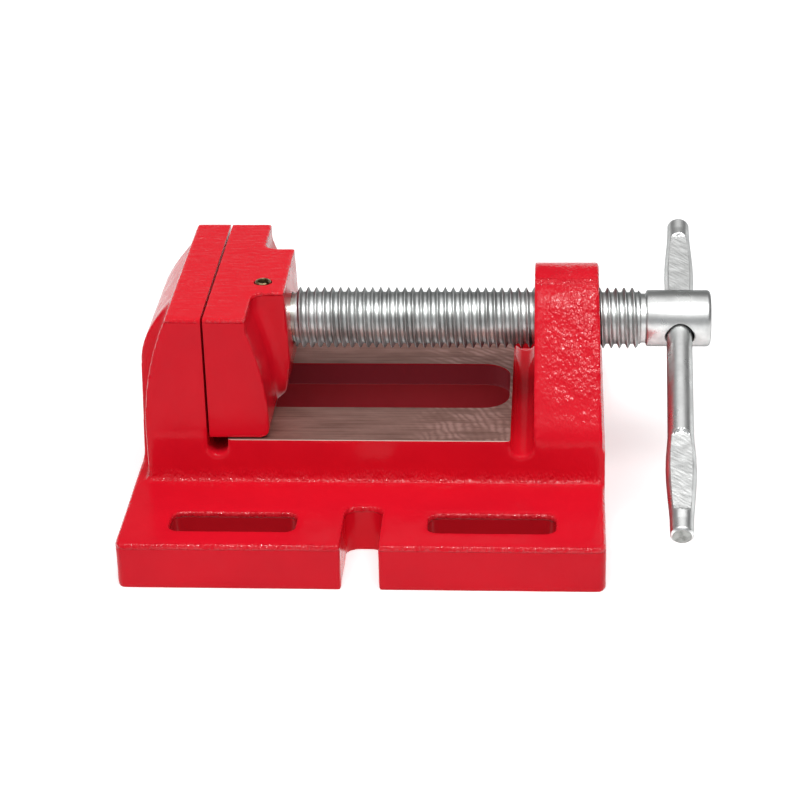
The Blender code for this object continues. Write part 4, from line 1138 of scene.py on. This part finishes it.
@dataclass
class SlidingJaw:
    """The sliding jaw: its plate, the boss that takes the screw's nose, and the guide tongue."""

    finishes: Finishes
    layout: Layout = LAYOUT
    top_thickness: float = 12.7 * MM
    foot_thickness: float = 18.3 * MM
    step_height: float = 64.0 * MM
    knee_height: float = 33.5 * MM
    foot_round: float = 2.5 * MM
    boss_width: float = 35.0 * MM
    boss_reach: float = 23.2 * MM
    boss_top_reach: float = 22.2 * MM
    boss_belly_height: float = 45.0 * MM
    boss_fillet_radius: float = 4.0 * MM
    boss_foot_height: float = 29.8 * MM
    boss_corner: float = 9.0 * MM
    allowance: float = 1.2 * MM
    tongue: Point = (1.0 * MM, 13.5 * MM)
    tongue_width: float = 31.4 * MM
    tongue_bevels: Point = (2.0 * MM, 6.0 * MM)
    pin_hole_depth: float = 31.0 * MM

    # Size of the cast mesh's faces, rounds of smoothing, and height and spacing of the skin's lumps
    voxel: float = 0.7 * MM
    rounds: int = 5
    lumps: Point = (0.1 * MM, 7.0 * MM)

    def plate(self) -> bpy.types.Object:
        """Make the plate, whose back spreads towards its foot.

        Returns:
            The plate.
        """
        face = self.layout.rest_opening
        foot_back, top_back = face + self.foot_thickness, face + self.top_thickness
        seat, top = self.layout.jaw_seat, self.layout.jaw_top_height
        foot = arc((foot_back - self.foot_round, seat + self.foot_round), self.foot_round, -90, 0)
        back = back_curve((foot_back, self.knee_height), (top_back, self.step_height))
        face -= self.allowance
        side = [(face, seat)] + foot + back + [(top_back, top), (face, top)]
        return prism("sliding_jaw", Plane.SIDE, side, -self.layout.jaw_width / 2, self.layout.jaw_width / 2)

    def boss_side(self) -> list[Point]:
        """Draw the boss's end as seen from the side.

        Returns:
            The points from its foot to its top.
        """
        face, low = self.layout.rest_opening, self.boss_foot_height
        foot_back, belly = face + self.foot_thickness, (face + self.boss_reach, self.boss_belly_height)
        return [
            (foot_back, low), ((foot_back + 2 * belly[0]) / 3, (2 * low + belly[1]) / 3), belly,
            (face + self.boss_top_reach, self.layout.jaw_top_height)]

    def boss(self) -> bpy.types.Object:
        """Make the boss behind the plate, rounded below.

        Returns:
            The boss.
        """
        face, top = self.layout.rest_opening, self.layout.jaw_top_height
        middle, low, half = face + self.top_thickness / 2, self.boss_foot_height, self.boss_width / 2
        side = [(middle, low)] + self.boss_side() + [(middle, top)]
        boss = prism("boss", Plane.SIDE, side, -half, half)
        lower = arc((half - self.boss_corner, low + self.boss_corner), self.boss_corner, -90, 0, 12)
        end = [(-y, z) for y, z in reversed(lower)] + lower + [(half, top), (-half, top)]
        return combine(boss, Operation.KEEP, prism("boss_end", Plane.END, end, face, 40 * MM))

    def boss_fillet(self, side: int) -> bpy.types.Object:
        """The hollow corner between the plate's back and one side of the boss.

        Args:
            side: -1 for the front, 1 for the back.

        Returns:
            The solid that fills the corner.
        """
        face, low, top = self.layout.rest_opening, self.boss_foot_height, self.layout.jaw_top_height
        foot, crown = (face + self.foot_thickness, self.knee_height), (face + self.top_thickness, self.step_height)
        backs, back_levels = zip(*back_curve(foot, crown))
        ends, end_levels = zip(*self.boss_side())
        rings, sunk, corner = [], 1.5 * MM, self.boss_corner
        for level in np.linspace(low + 0.2 * MM, top - 0.05 * MM, 30):
            back = float(np.interp(level, back_levels, backs))
            reach = float(np.interp(level, end_levels, ends)) - back
            fillet = max(0.2 * MM, min(self.boss_fillet_radius, reach - 0.4 * MM))
            below = max(0.0, low + corner - level)
            half = self.boss_width / 2 - corner + math.sqrt(corner**2 - below**2)
            outline = [(back - sunk, half - sunk), (back + fillet, half - sunk)]
            outline += arc((back + fillet, half + fillet), fillet, 270, 180) + [(back - sunk, half + fillet)]
            rings.append([(x, side * y, level) for x, y in outline])
        return stack("boss_fillet", rings)

    def tongue_solid(self) -> bpy.types.Object:
        """Make the tongue that runs in the slot between the ways.

        Returns:
            The tongue.
        """
        start = self.layout.rest_opening + self.tongue[0]
        end, half = start + self.tongue[1], self.tongue_width / 2
        near, far = self.tongue_bevels
        outline = [
            (start + near, -half), (end - far, -half), (end, -half + far), (end, half - far), (end - far, half),
            (start + near, half), (start, half - near), (start, -half + near),
        ]
        return prism("tongue", Plane.PLAN, outline, self.layout.way_underside, self.layout.jaw_seat + 3 * MM)

    def mill(self, casting: bpy.types.Object) -> bpy.types.Object:
        """Bore the seat of the screw's nose and the pin's hole, and face the jaw.

        Args:
            casting: The raw casting.

        Returns:
            The milled one.
        """
        layout, deep = self.layout, self.pin_hole_depth
        gap, wide = layout.seat_gap, layout.jaw_width
        bore, reach, pin_hole = layout.nose_radius + gap, layout.nose_length_in_jaw + gap, layout.pin_radius + gap
        face = layout.rest_opening - layout.grip_stock
        before, ground, sky = face - 3 * MM, 10 * MM, 80 * MM
        return combine(
            casting, Operation.CUT,
            turned("bore_tool", [(0, bore), (reach - 0.6 * MM, bore), (reach + 1.4 * MM, bore + 2 * MM)],
                   Vector((layout.nose_start - gap, 0, layout.screw_height)), Vector((1, 0, 0))),
            turned("pin_tool", [(0, pin_hole), (deep - 0.3 * MM, pin_hole), (deep + 2 * MM, pin_hole + 2.2 * MM)],
                   Vector((layout.pin_x, layout.pin_y, layout.jaw_top_height - deep)), Vector((0, 0, 1)), 48),
            prism("grip_mill", Plane.SIDE, [(before, ground), (face, ground), (face, sky), (before, sky)], -wide, wide),
            solver="MANIFOLD")

    def build(self) -> bpy.types.Object:
        """Cast, mill and paint the jaw.

        Returns:
            The finished piece.
        """
        layout = self.layout
        plate, boss = self.plate(), self.boss()
        fillets = [self.boss_fillet(side) for side in (-1, 1)]
        casting = combine(plate, Operation.JOIN, boss, *fillets, self.tongue_solid())
        casting = self.mill(sand_cast(casting, self.voxel, self.rounds, *self.lumps))
        casting.name = "sliding_jaw_casting"
        give_materials(casting, self.finishes.enamel, self.finishes.milled, self.finishes.bore)
        paint_faces(casting, 1, lambda middle, normal: middle[:, 2] < layout.jaw_seat + 0.15 * MM)
        bore = layout.nose_radius + layout.seat_gap
        paint_faces(casting, 2, lambda middle, normal: (
            (np.hypot(middle[:, 1], middle[:, 2] - layout.screw_height) < bore + 0.05 * MM)
            & (middle[:, 0] > layout.nose_start - MM)
            | (np.hypot(middle[:, 0] - layout.pin_x, middle[:, 1] - layout.pin_y) < 2.95 * MM)
            & (middle[:, 2] < layout.jaw_top_height - 0.2 * MM)))
        smooth_shaded(casting)
        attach(casting, "jaw")
        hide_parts("movable_jaw")
        return casting


# Steel pieces


@dataclass
class LeadScrew:
    """The lead screw: nose, rolled thread and turned head with the cross hole."""

    finishes: Finishes
    layout: Layout = LAYOUT
    head_radius: float = 8.8 * MM

    # Rounded shoulder and outer edge of the head: distances in from its end and below its radius
    head_shoulder: tuple[Point, ...] = ((0.0, 0.6 * MM), (0.2 * MM, 0.2 * MM), (0.6 * MM, 0.0))
    head_edge: tuple[Point, ...] = ((1.2 * MM, 0.0), (0.66 * MM, 0.144 * MM), (0.24 * MM, 0.48 * MM), (0.0, 1.2 * MM))
    nose_bevel: float = 1.2 * MM
    neck_bevel: float = 0.25 * MM
    hole_flare: float = 2.4 * MM
    hole_flare_depth: float = 0.35 * MM

    # Thread profile of one pitch, from crest to crest: shares of the pitch and of the depth
    profile_shares: tuple[Point, ...] = (
        (0.0, 1.0), (0.035, 1.0), (0.065, 0.93), (0.3, 0.08), (0.36, 0.0), (0.5, 0.0), (0.64, 0.0), (0.7, 0.08),
        (0.935, 0.93), (0.965, 1.0),
    )
    depth: float = 1.42 * MM
    segments: int = 48

    @classmethod
    def threaded_rod(cls, name: str, low: float, high: float, growth: float) -> bpy.types.Object:
        """A right-hand threaded rod on the screw's axis, in mesh with the screw.

        Args:
            name: Name of the new object.
            low: Where the rod starts along the screw.
            high: Where it ends.
            growth: How much larger in radius it is than the screw itself.

        Returns:
            The closed rod.
        """
        layout = LAYOUT
        crest = layout.thread_radius + growth
        count, shares = cls.segments, cls.profile_shares
        first = math.floor((low - layout.thread_start) / layout.pitch) * count
        last = math.ceil((high - layout.thread_start) / layout.pitch) * count
        work = bmesh.new()
        rows = []
        for step in range(first, last + 1):
            angle = math.tau * step / count
            along = layout.thread_start + layout.pitch * step / count
            row = []
            for along_share, depth_share in shares:
                radius = crest - cls.depth * (1 - depth_share)
                row.append(work.verts.new((
                    along + along_share * layout.pitch, -radius * math.sin(angle),
                    layout.screw_height + radius * math.cos(angle))))
            rows.append(row)
        for i, (row, after) in enumerate(zip(rows, rows[1:])):
            for j in range(len(shares) - 1):
                work.faces.new((row[j], after[j], after[j + 1], row[j + 1]))
            if i + count + 1 < len(rows):
                work.faces.new((row[-1], after[-1], rows[i + 1 + count][0], rows[i + count][0]))
        start_loop = [row[0] for row in rows[:count + 1]] + rows[0][:0:-1]
        end_loop = [row[-1] for row in rows[-count - 1:]] + rows[-1][-2::-1]
        for loop in (start_loop, end_loop):
            middle = sum(vert.co.x for vert in loop) / len(loop)
            hub = work.verts.new((middle, 0, layout.screw_height))
            for i, vert in enumerate(loop):
                work.faces.new((hub, vert, loop[(i + 1) % len(loop)]))
        return solid_of(work, name)

    def build(self) -> bpy.types.Object:
        """Turn, thread and drill the screw.

        Returns:
            The finished piece.
        """
        layout, solver = self.layout, "MANIFOLD"
        start, along = Vector((0, 0, layout.screw_height)), Vector((1, 0, 0))
        thread_start, thread_end, pitch = layout.thread_start, layout.thread_end, layout.pitch
        thread = self.threaded_rod("lead_screw_threaded", thread_start - 2 * pitch, thread_end + 2 * pitch, 0.0)
        radius, reach = layout.nose_radius, self.head_radius
        root, over = layout.thread_radius - self.depth, layout.thread_radius + self.depth / 2
        first, end_radius = thread_start - pitch / 2, (radius + root) / 2
        bevel_start = thread_end - (over - end_radius)
        blank = turned("blank", [(first, over), (bevel_start, over), (thread_end, end_radius)], start, along, 96)
        screw = combine(thread, Operation.KEEP, blank, solver=solver)
        half_groove, groove = layout.pin_radius + layout.seat_gap, radius - layout.pin_groove_depth
        groove_start, groove_end = layout.pin_x - half_groove, layout.pin_x + half_groove
        nose = turned("nose", [
            (layout.nose_start, radius - self.nose_bevel), (layout.nose_start + self.nose_bevel, radius),
            (groove_start, radius), (groove_start, groove), (groove_end, groove), (groove_end, radius),
            (thread_start + pitch / 2, radius)], start, along)
        head_start, bevel = layout.head_start, self.neck_bevel
        neck = [(thread_end - pitch / 2, radius), (head_start - bevel, radius), (head_start, radius + bevel)]
        shoulder = [(head_start + inward, reach - drop) for inward, drop in self.head_shoulder]
        edge = [(layout.head_end - inward, reach - drop) for inward, drop in self.head_edge]
        head = turned("head", neck + shoulder + edge, start, along, 96)
        screw = combine(screw, Operation.JOIN, nose, head, solver=solver)
        hole, flared, mouth = layout.hole_radius, layout.hole_radius + self.hole_flare, reach - self.hole_flare_depth
        cross_hole = turned(
            "cross_hole", [(-reach - 2 * MM, flared), (-mouth, hole), (mouth, hole), (reach + 2 * MM, flared)],
            Vector((layout.handle_x, 0, layout.screw_height)), layout.hole_down)
        screw = combine(screw, Operation.CUT, cross_hole, solver=solver)
        screw.name = "lead_screw_threaded"
        give_materials(screw, self.finishes.rolled, self.finishes.turned, self.finishes.nose)
        paint_faces(screw, 1, lambda middle, normal: middle[:, 0] > layout.thread_end)
        paint_faces(screw, 2, lambda middle, normal: middle[:, 0] < first)
        smooth_shaded(screw, 30.0)
        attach(screw, "screw")
        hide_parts("lead_screw")
        return screw


@dataclass
class TommyBar:
    """The sliding bar: a drawn rod with a long hammered paddle near each of its round tips."""

    finishes: Finishes
    layout: Layout = LAYOUT
    length: float = 136.95 * MM
    upper_reach: float = 44.6 * MM
    radius: float = 3.95 * MM
    paddle_length: float = 40.0 * MM
    half_width: float = 4.6 * MM
    half_thickness: float = 2.8 * MM
    tip_radius: float = 3.4 * MM
    tip_chamfer: float = 0.6 * MM
    tip_length: float = 7.6 * MM
    shoulder_drop: float = 1.0 * MM
    shoulder_arc: float = 1.5 * MM
    around: int = 96
    spacing: float = 0.25 * MM

    # The hammer's marks: angle of the ridges, their pitch and length, pitches of the dents, and both heights
    ridge_angle: float = math.radians(42.0)
    ridge_mm: Point = (0.45, 3.0)
    dent_mm: Point = (2.6, 3.4)
    mark_heights: Point = (0.08 * MM, 0.1 * MM)

    # Lengths over which the flat fades out at the rod and at the tip, sinks in, and how ragged its end is
    fades: Point = (0.5 * MM, 0.8 * MM)
    sink_length: float = 6.0 * MM
    ragged: float = 0.7 * MM

    # Half widths along the paddle: shares of its length, with shares of the way from the tip's radius
    # to the full half width, and then from the rod's radius
    tip_shares: tuple[Point, ...] = ((0.0, 0.0), (0.17, 0.12), (0.25, 0.28), (0.4, 0.64), (0.53, 0.9), (0.66, 1.0))
    rod_shares: tuple[Point, ...] = ((0.66, 1.0), (0.79, 0.8), (0.91, 0.3), (0.97, 0.08), (1.0, 0.0))

    def outline(self, from_tip: float) -> float:
        """Find the half width of the bar.

        Args:
            from_tip: Distance from the nearer tip.

        Returns:
            Half of the width there.
        """
        share = from_tip / self.paddle_length
        near_tip = share <= self.tip_shares[-1][0]
        places, values = zip(*(self.tip_shares if near_tip else self.rod_shares))
        side = self.tip_radius if near_tip else self.radius
        width = side + (self.half_width - side) * float(np.interp(share, places, values))
        return width - max(0.0, self.tip_chamfer - from_tip)

    def dent(self, across: float, along: float, face: float) -> float:
        """Height of the hammer's marks: slanting ridges over coarser dents.

        Args:
            across: Place across the paddle.
            along: Place along it.
            face: 1 for the front, -1 for the back.

        Returns:
            The height above or below the flat.
        """
        slant, run = math.sin(self.ridge_angle), math.cos(self.ridge_angle)
        ridge = along * run - across * slant
        length = along * slant + across * run
        height = 0.0
        for (u, v), spacings, place, scale in (
                ((ridge, length), self.ridge_mm, face * 3.0, self.mark_heights[0]),
                ((across, along), self.dent_mm, face * 7.0, self.mark_heights[1])):
            fine, long = per_metre(*spacings)
            height += noise.noise(Vector((u * fine, v * long, place))) * scale
        return height

    def ring(self, along: float) -> list[Vector]:
        """One cross section of the bar: a round rod, beaten flat on two sides over its paddles.

        Args:
            along: Distance from the bar's upper end.

        Returns:
            The points of the section, with the flats facing Y.
        """
        from_tip = min(along, self.length - along)
        width = self.outline(from_tip)
        round_half = self.tip_radius + (self.radius - self.tip_radius) * clamped(from_tip / self.tip_length - 0.6)
        round_half -= max(0.0, self.tip_chamfer - from_tip)
        deep = clamped((self.paddle_length - from_tip) / self.sink_length)
        shoulder = self.radius - self.shoulder_drop
        flat = shoulder - (shoulder - self.half_thickness) * deep
        points = []
        for i in range(self.around):
            angle = math.tau * i / self.around
            across, up = math.cos(angle) * width, math.sin(angle) * round_half
            # The hammer leaves a curved shoulder on the rod and a ragged one at the tip.
            bend = self.shoulder_arc * min(1.0, (across / self.half_width * 1.9) ** 2)
            tip_end = self.tip_length + self.ragged * noise.noise(Vector((across * per_metre(1.6), along, 1.0)))
            beaten = clamped((self.paddle_length - bend - from_tip) / self.fades[0])
            beaten *= clamped((from_tip - tip_end) / self.fades[1])
            limit = round_half + (flat - round_half) * beaten
            if beaten > 0 and abs(up) > limit:
                up = math.copysign(limit + self.dent(across, along, math.copysign(1.0, up)) * beaten, up)
            points.append(Vector((across, up, along)))
        return points

    def build(self) -> bpy.types.Object:
        """Forge the bar.

        Returns:
            The finished piece.
        """
        layout = self.layout
        count = round(self.length / self.spacing)
        bar = stack("tommy_bar_forged", [self.ring(self.length * i / count) for i in range(count + 1)])
        along = layout.bar_down
        across = (Vector((1, 0, 0)) - along * along.x).normalized()
        facing = along.cross(across)
        turn = Matrix((across, facing, along)).transposed().to_4x4()
        middle = Vector((layout.handle_x, 0, layout.screw_height))
        bar.data.transform(Matrix.Translation(middle) @ turn @ Matrix.Translation((0, 0, -self.upper_reach)))
        give_materials(bar, self.finishes.drawn, self.finishes.hammered, self.finishes.bolt)

        def on_paddle(places: np.ndarray, normals: np.ndarray) -> np.ndarray:
            """Find the faces of the hammered flats.

            Args:
                places: Middles of the faces.
                normals: Their normals.

            Returns:
                Whether each face is on a flat.
            """
            distance = (places - np.array(middle)) @ np.array(along) + self.upper_reach
            from_tip = np.minimum(distance, self.length - distance)
            flat = np.abs(normals @ np.array(facing)) > 0.75
            return flat & (from_tip < self.paddle_length) & (from_tip > self.tip_length)

        paint_faces(bar, 1, on_paddle)
        paint_faces(bar, 2, lambda places, normals: np.abs(normals @ np.array(along)) > 0.97)
        smooth_shaded(bar, 30.0)
        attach(bar, "handle")
        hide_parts("tommy_bar")
        return bar


@dataclass
class SpringPin:
    """The rolled spring pin beside the screw's nose: a slit tube with beaten edges."""

    finishes: Finishes
    layout: Layout = LAYOUT
    wall: float = 0.8 * MM
    chamfer: float = 0.35 * MM
    length: float = 30.0 * MM
    proud: float = 0.3 * MM
    slit: float = 12.0
    slit_turn: float = -45.0

    def build(self) -> bpy.types.Object:
        """Roll the pin.

        Returns:
            The finished piece.
        """
        layout = self.layout
        centre, top = (layout.pin_x, layout.pin_y), layout.jaw_top_height + self.proud
        low = layout.jaw_top_height - 0.4 * MM - self.length
        start, end = self.slit_turn + self.slit, self.slit_turn - self.slit + 360
        rings = []
        for level, worn in ((low, self.chamfer), (low + self.chamfer, 0.0), (top - self.chamfer, 0.0),
                            (top - 0.4 * self.chamfer, 0.3 * self.chamfer), (top, self.chamfer)):
            outer = arc(centre, layout.pin_radius - worn, start, end, 40)
            inner = arc(centre, layout.pin_radius - self.wall + worn / 3, start, end, 40)
            rings.append([(x, y, level) for x, y in outer + inner[::-1]])
        pin = stack("rolled_spring_pin", rings)
        give_materials(pin, self.finishes.pin)
        smooth_shaded(pin, 50.0)
        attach(pin, "jaw")
        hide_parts("retaining_pin")
        return pin


@dataclass
class JawHardware:
    """The small steel pieces that hold the jaw down: keeper plate, bolts and washers."""

    finishes: Finishes

    def build(self) -> None:
        """Dress the CAD pieces, whose shapes are right, in their finishes."""
        for name, material in (
                ("keeper_plate", self.finishes.plate),
                ("keeper_bolt_front", self.finishes.bolt), ("keeper_bolt_back", self.finishes.bolt),
                ("spring_washer_front", self.finishes.washer), ("spring_washer_back", self.finishes.washer)):
            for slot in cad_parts[name].material_slots:
                slot.material = material


# Studio


@dataclass(frozen=True)
class Lamp:
    """A rectangular lamp that points at the middle of the vise, in metres and watts."""

    name: str
    place: Point3
    size: Point
    power: float
    aim: Point3 = (0.06, 0.0, 0.03)

    def hang(self) -> bpy.types.Object:
        """Hang the lamp.

        Returns:
            The lamp.
        """
        data = bpy.data.lights.new(self.name, "AREA")
        data.shape = "RECTANGLE"
        data.size, data.size_y = self.size
        data.energy = self.power
        lamp = bpy.data.objects.new(self.name, data)
        turn = (Vector(self.aim) - Vector(self.place)).to_track_quat("-Z", "Y").to_matrix().to_4x4()
        lamp.matrix_world = Matrix.Translation(self.place) @ turn
        bpy.context.scene.collection.objects.link(lamp)
        return lamp


@dataclass
class Studio:
    """Camera, lamps, pale floor and surroundings, as colours in sRGB hex."""

    lens: float = 108.0
    position: tuple[float, float, float] = (0.10785, -0.68711, 0.36335)
    elevation: float = math.radians(26.241)
    heading: float = math.radians(4.251)
    roll: float = math.radians(-1.588)
    ceiling: float = 0.95
    wall_front: str = "989A9C"
    wall_behind: str = "7E7E7E"
    wall_right: str = "5C5C5C"
    paper: str = "F2F2F2"
    floor_glow: float = 0.42
    floor_reach: float = 6.0
    floor_level: float = -0.02 * MM
    soft_box: Lamp = Lamp("soft_box", (0.12, -0.42, 1.06), (0.9, 0.55), 6.5)
    bare_bulb: Lamp = Lamp("bare_bulb", (0.26, -0.54, 1.03), (0.045, 0.045), 5.0)

    def camera(self) -> None:
        """Place the camera where the photograph was taken from."""
        look = Vector((
            -math.sin(self.heading) * math.cos(self.elevation), math.cos(self.heading) * math.cos(self.elevation),
            -math.sin(self.elevation)))
        level = Vector((math.cos(self.heading), math.sin(self.heading), 0))
        upright = level.cross(look)
        right = math.cos(self.roll) * level + math.sin(self.roll) * upright
        up = -math.sin(self.roll) * level + math.cos(self.roll) * upright
        data = bpy.data.cameras.new("camera")
        data.lens = self.lens
        data.sensor_width = 36.0
        data.clip_start = 0.01
        camera = bpy.data.objects.new("camera", data)
        camera.matrix_world = Matrix.Translation(self.position) @ Matrix((right, up, -look)).transposed().to_4x4()
        bpy.context.scene.collection.objects.link(camera)
        bpy.context.scene.camera = camera

    @staticmethod
    def seeing_rays(tree: bpy.types.NodeTree) -> tuple[bpy.types.NodeSocket, bpy.types.NodeSocket]:
        """The rays that show the white background.

        Args:
            tree: The node tree that asks.

        Returns:
            1 for the camera's own rays, and 1 for the rays that metal or glass sends on.
        """
        rays = add(tree, "LightPath", output="Is Camera Ray")
        kinds = rays.node.outputs
        passed_on = add(tree, "Math", {0: kinds["Is Glossy Ray"], 1: kinds["Is Transmission Ray"]}, operation="MAXIMUM")
        return rays, passed_on

    def surroundings(self) -> None:
        """A pale tent: a bright ceiling that comes down in front, grey walls, and a white backdrop."""
        world = bpy.data.worlds.new("pale_studio")
        bpy.context.scene.world = world
        world.use_nodes = True
        tree = world.node_tree
        tree.nodes.clear()
        x, y, z = add(tree, "SeparateXYZ", {"Vector": add(tree, "TexCoord", output="Generated")}).node.outputs
        slope = add(tree, "Math", {0: y, 1: -0.24, 2: z}, operation="MULTIPLY_ADD")
        front, right, near_floor, overhead, behind = (
            add(tree, "MapRange", {"Value": along, "From Min": start, "From Max": full}, interpolation_type=fade)
            for along, start, full, fade in (
                (y, 0.3, -0.5, "SMOOTHSTEP"), (x, 0.45, 0.8, "SMOOTHSTEP"), (z, 0.3, 0.16, "SMOOTHSTEP"),
                (slope, 0.62, 0.78, "SMOOTHSTEP"), (y, 0.2, 0.5, "LINEAR")))
        backdrop = add(tree, "Math", {0: near_floor, 1: behind}, operation="MULTIPLY")
        camera, mirrored = self.seeing_rays(tree)
        mirrored = add(tree, "Math", {0: mirrored, 1: backdrop}, operation="MULTIPLY")
        shown = add(tree, "Math", {0: camera, 1: mirrored}, operation="MAXIMUM")
        seen = add(tree, "ValToRGB", {"Fac": front}, "Color", {0.0: self.wall_behind, 1.0: self.wall_front})
        for share, light in (
                (right, linear(self.wall_right)), (overhead, (self.ceiling,) * 3 + (1.0,)), (shown, (1.0,) * 4)):
            seen = add(tree, "Mix", {"Factor": share, "A": seen, "B": light}, 2, data_type="RGBA")
        back = add(tree, "Background", {"Color": seen, "Strength": 1.0})
        feed(tree, tree.nodes.new("ShaderNodeOutputWorld"), {"Surface": back})

    def floor(self) -> None:
        """A wide pale floor, white to the camera but for the object's soft shadow."""
        mesh = bpy.data.meshes.new("studio_floor")
        reach, level = self.floor_reach, self.floor_level
        corners = [(-reach, -reach, level), (reach, -reach, level), (reach, reach, level), (-reach, reach, level)]
        mesh.from_pydata(corners, [], [(0, 1, 2, 3)])
        floor = link(mesh, "studio_floor")
        paper = Coating("white_paper_floor")
        shown = add(paper.tree, "Math", dict(enumerate(self.seeing_rays(paper.tree))), operation="MAXIMUM")
        glow = add(paper.tree, "Math", {0: shown, 1: self.floor_glow}, operation="MULTIPLY")
        mesh.materials.append(paper.finish({
            "Base Color": linear(self.paper), "Roughness": 0.9, "Specular IOR Level": 0.0,
            "Emission Color": (1.0, 1.0, 1.0, 1.0), "Emission Strength": glow}))

    def build(self) -> None:
        """Set up the whole studio."""
        self.camera()
        self.surroundings()
        self.floor()
        self.soft_box.hang()
        # The bare bulb makes the small glints, and is kept out of the light on the paint.
        self.bare_bulb.hang().visible_diffuse = False
        bpy.context.scene.view_settings.view_transform = "Standard"


def main() -> None:
    """Build the studio and dress every piece."""
    logging.basicConfig(level=logging.INFO, format="%(name)s: %(message)s")
    Studio().build()
    finishes = Finishes()
    for maker in (BaseCasting, SlidingJaw, LeadScrew, TommyBar, SpringPin):
        piece = maker(finishes).build()
        log.info("%s: %d faces", piece.name, len(piece.data.polygons))
    JawHardware(finishes).build()
    log.info("dressed the small hardware")


if __name__ == "__main__":
    main()
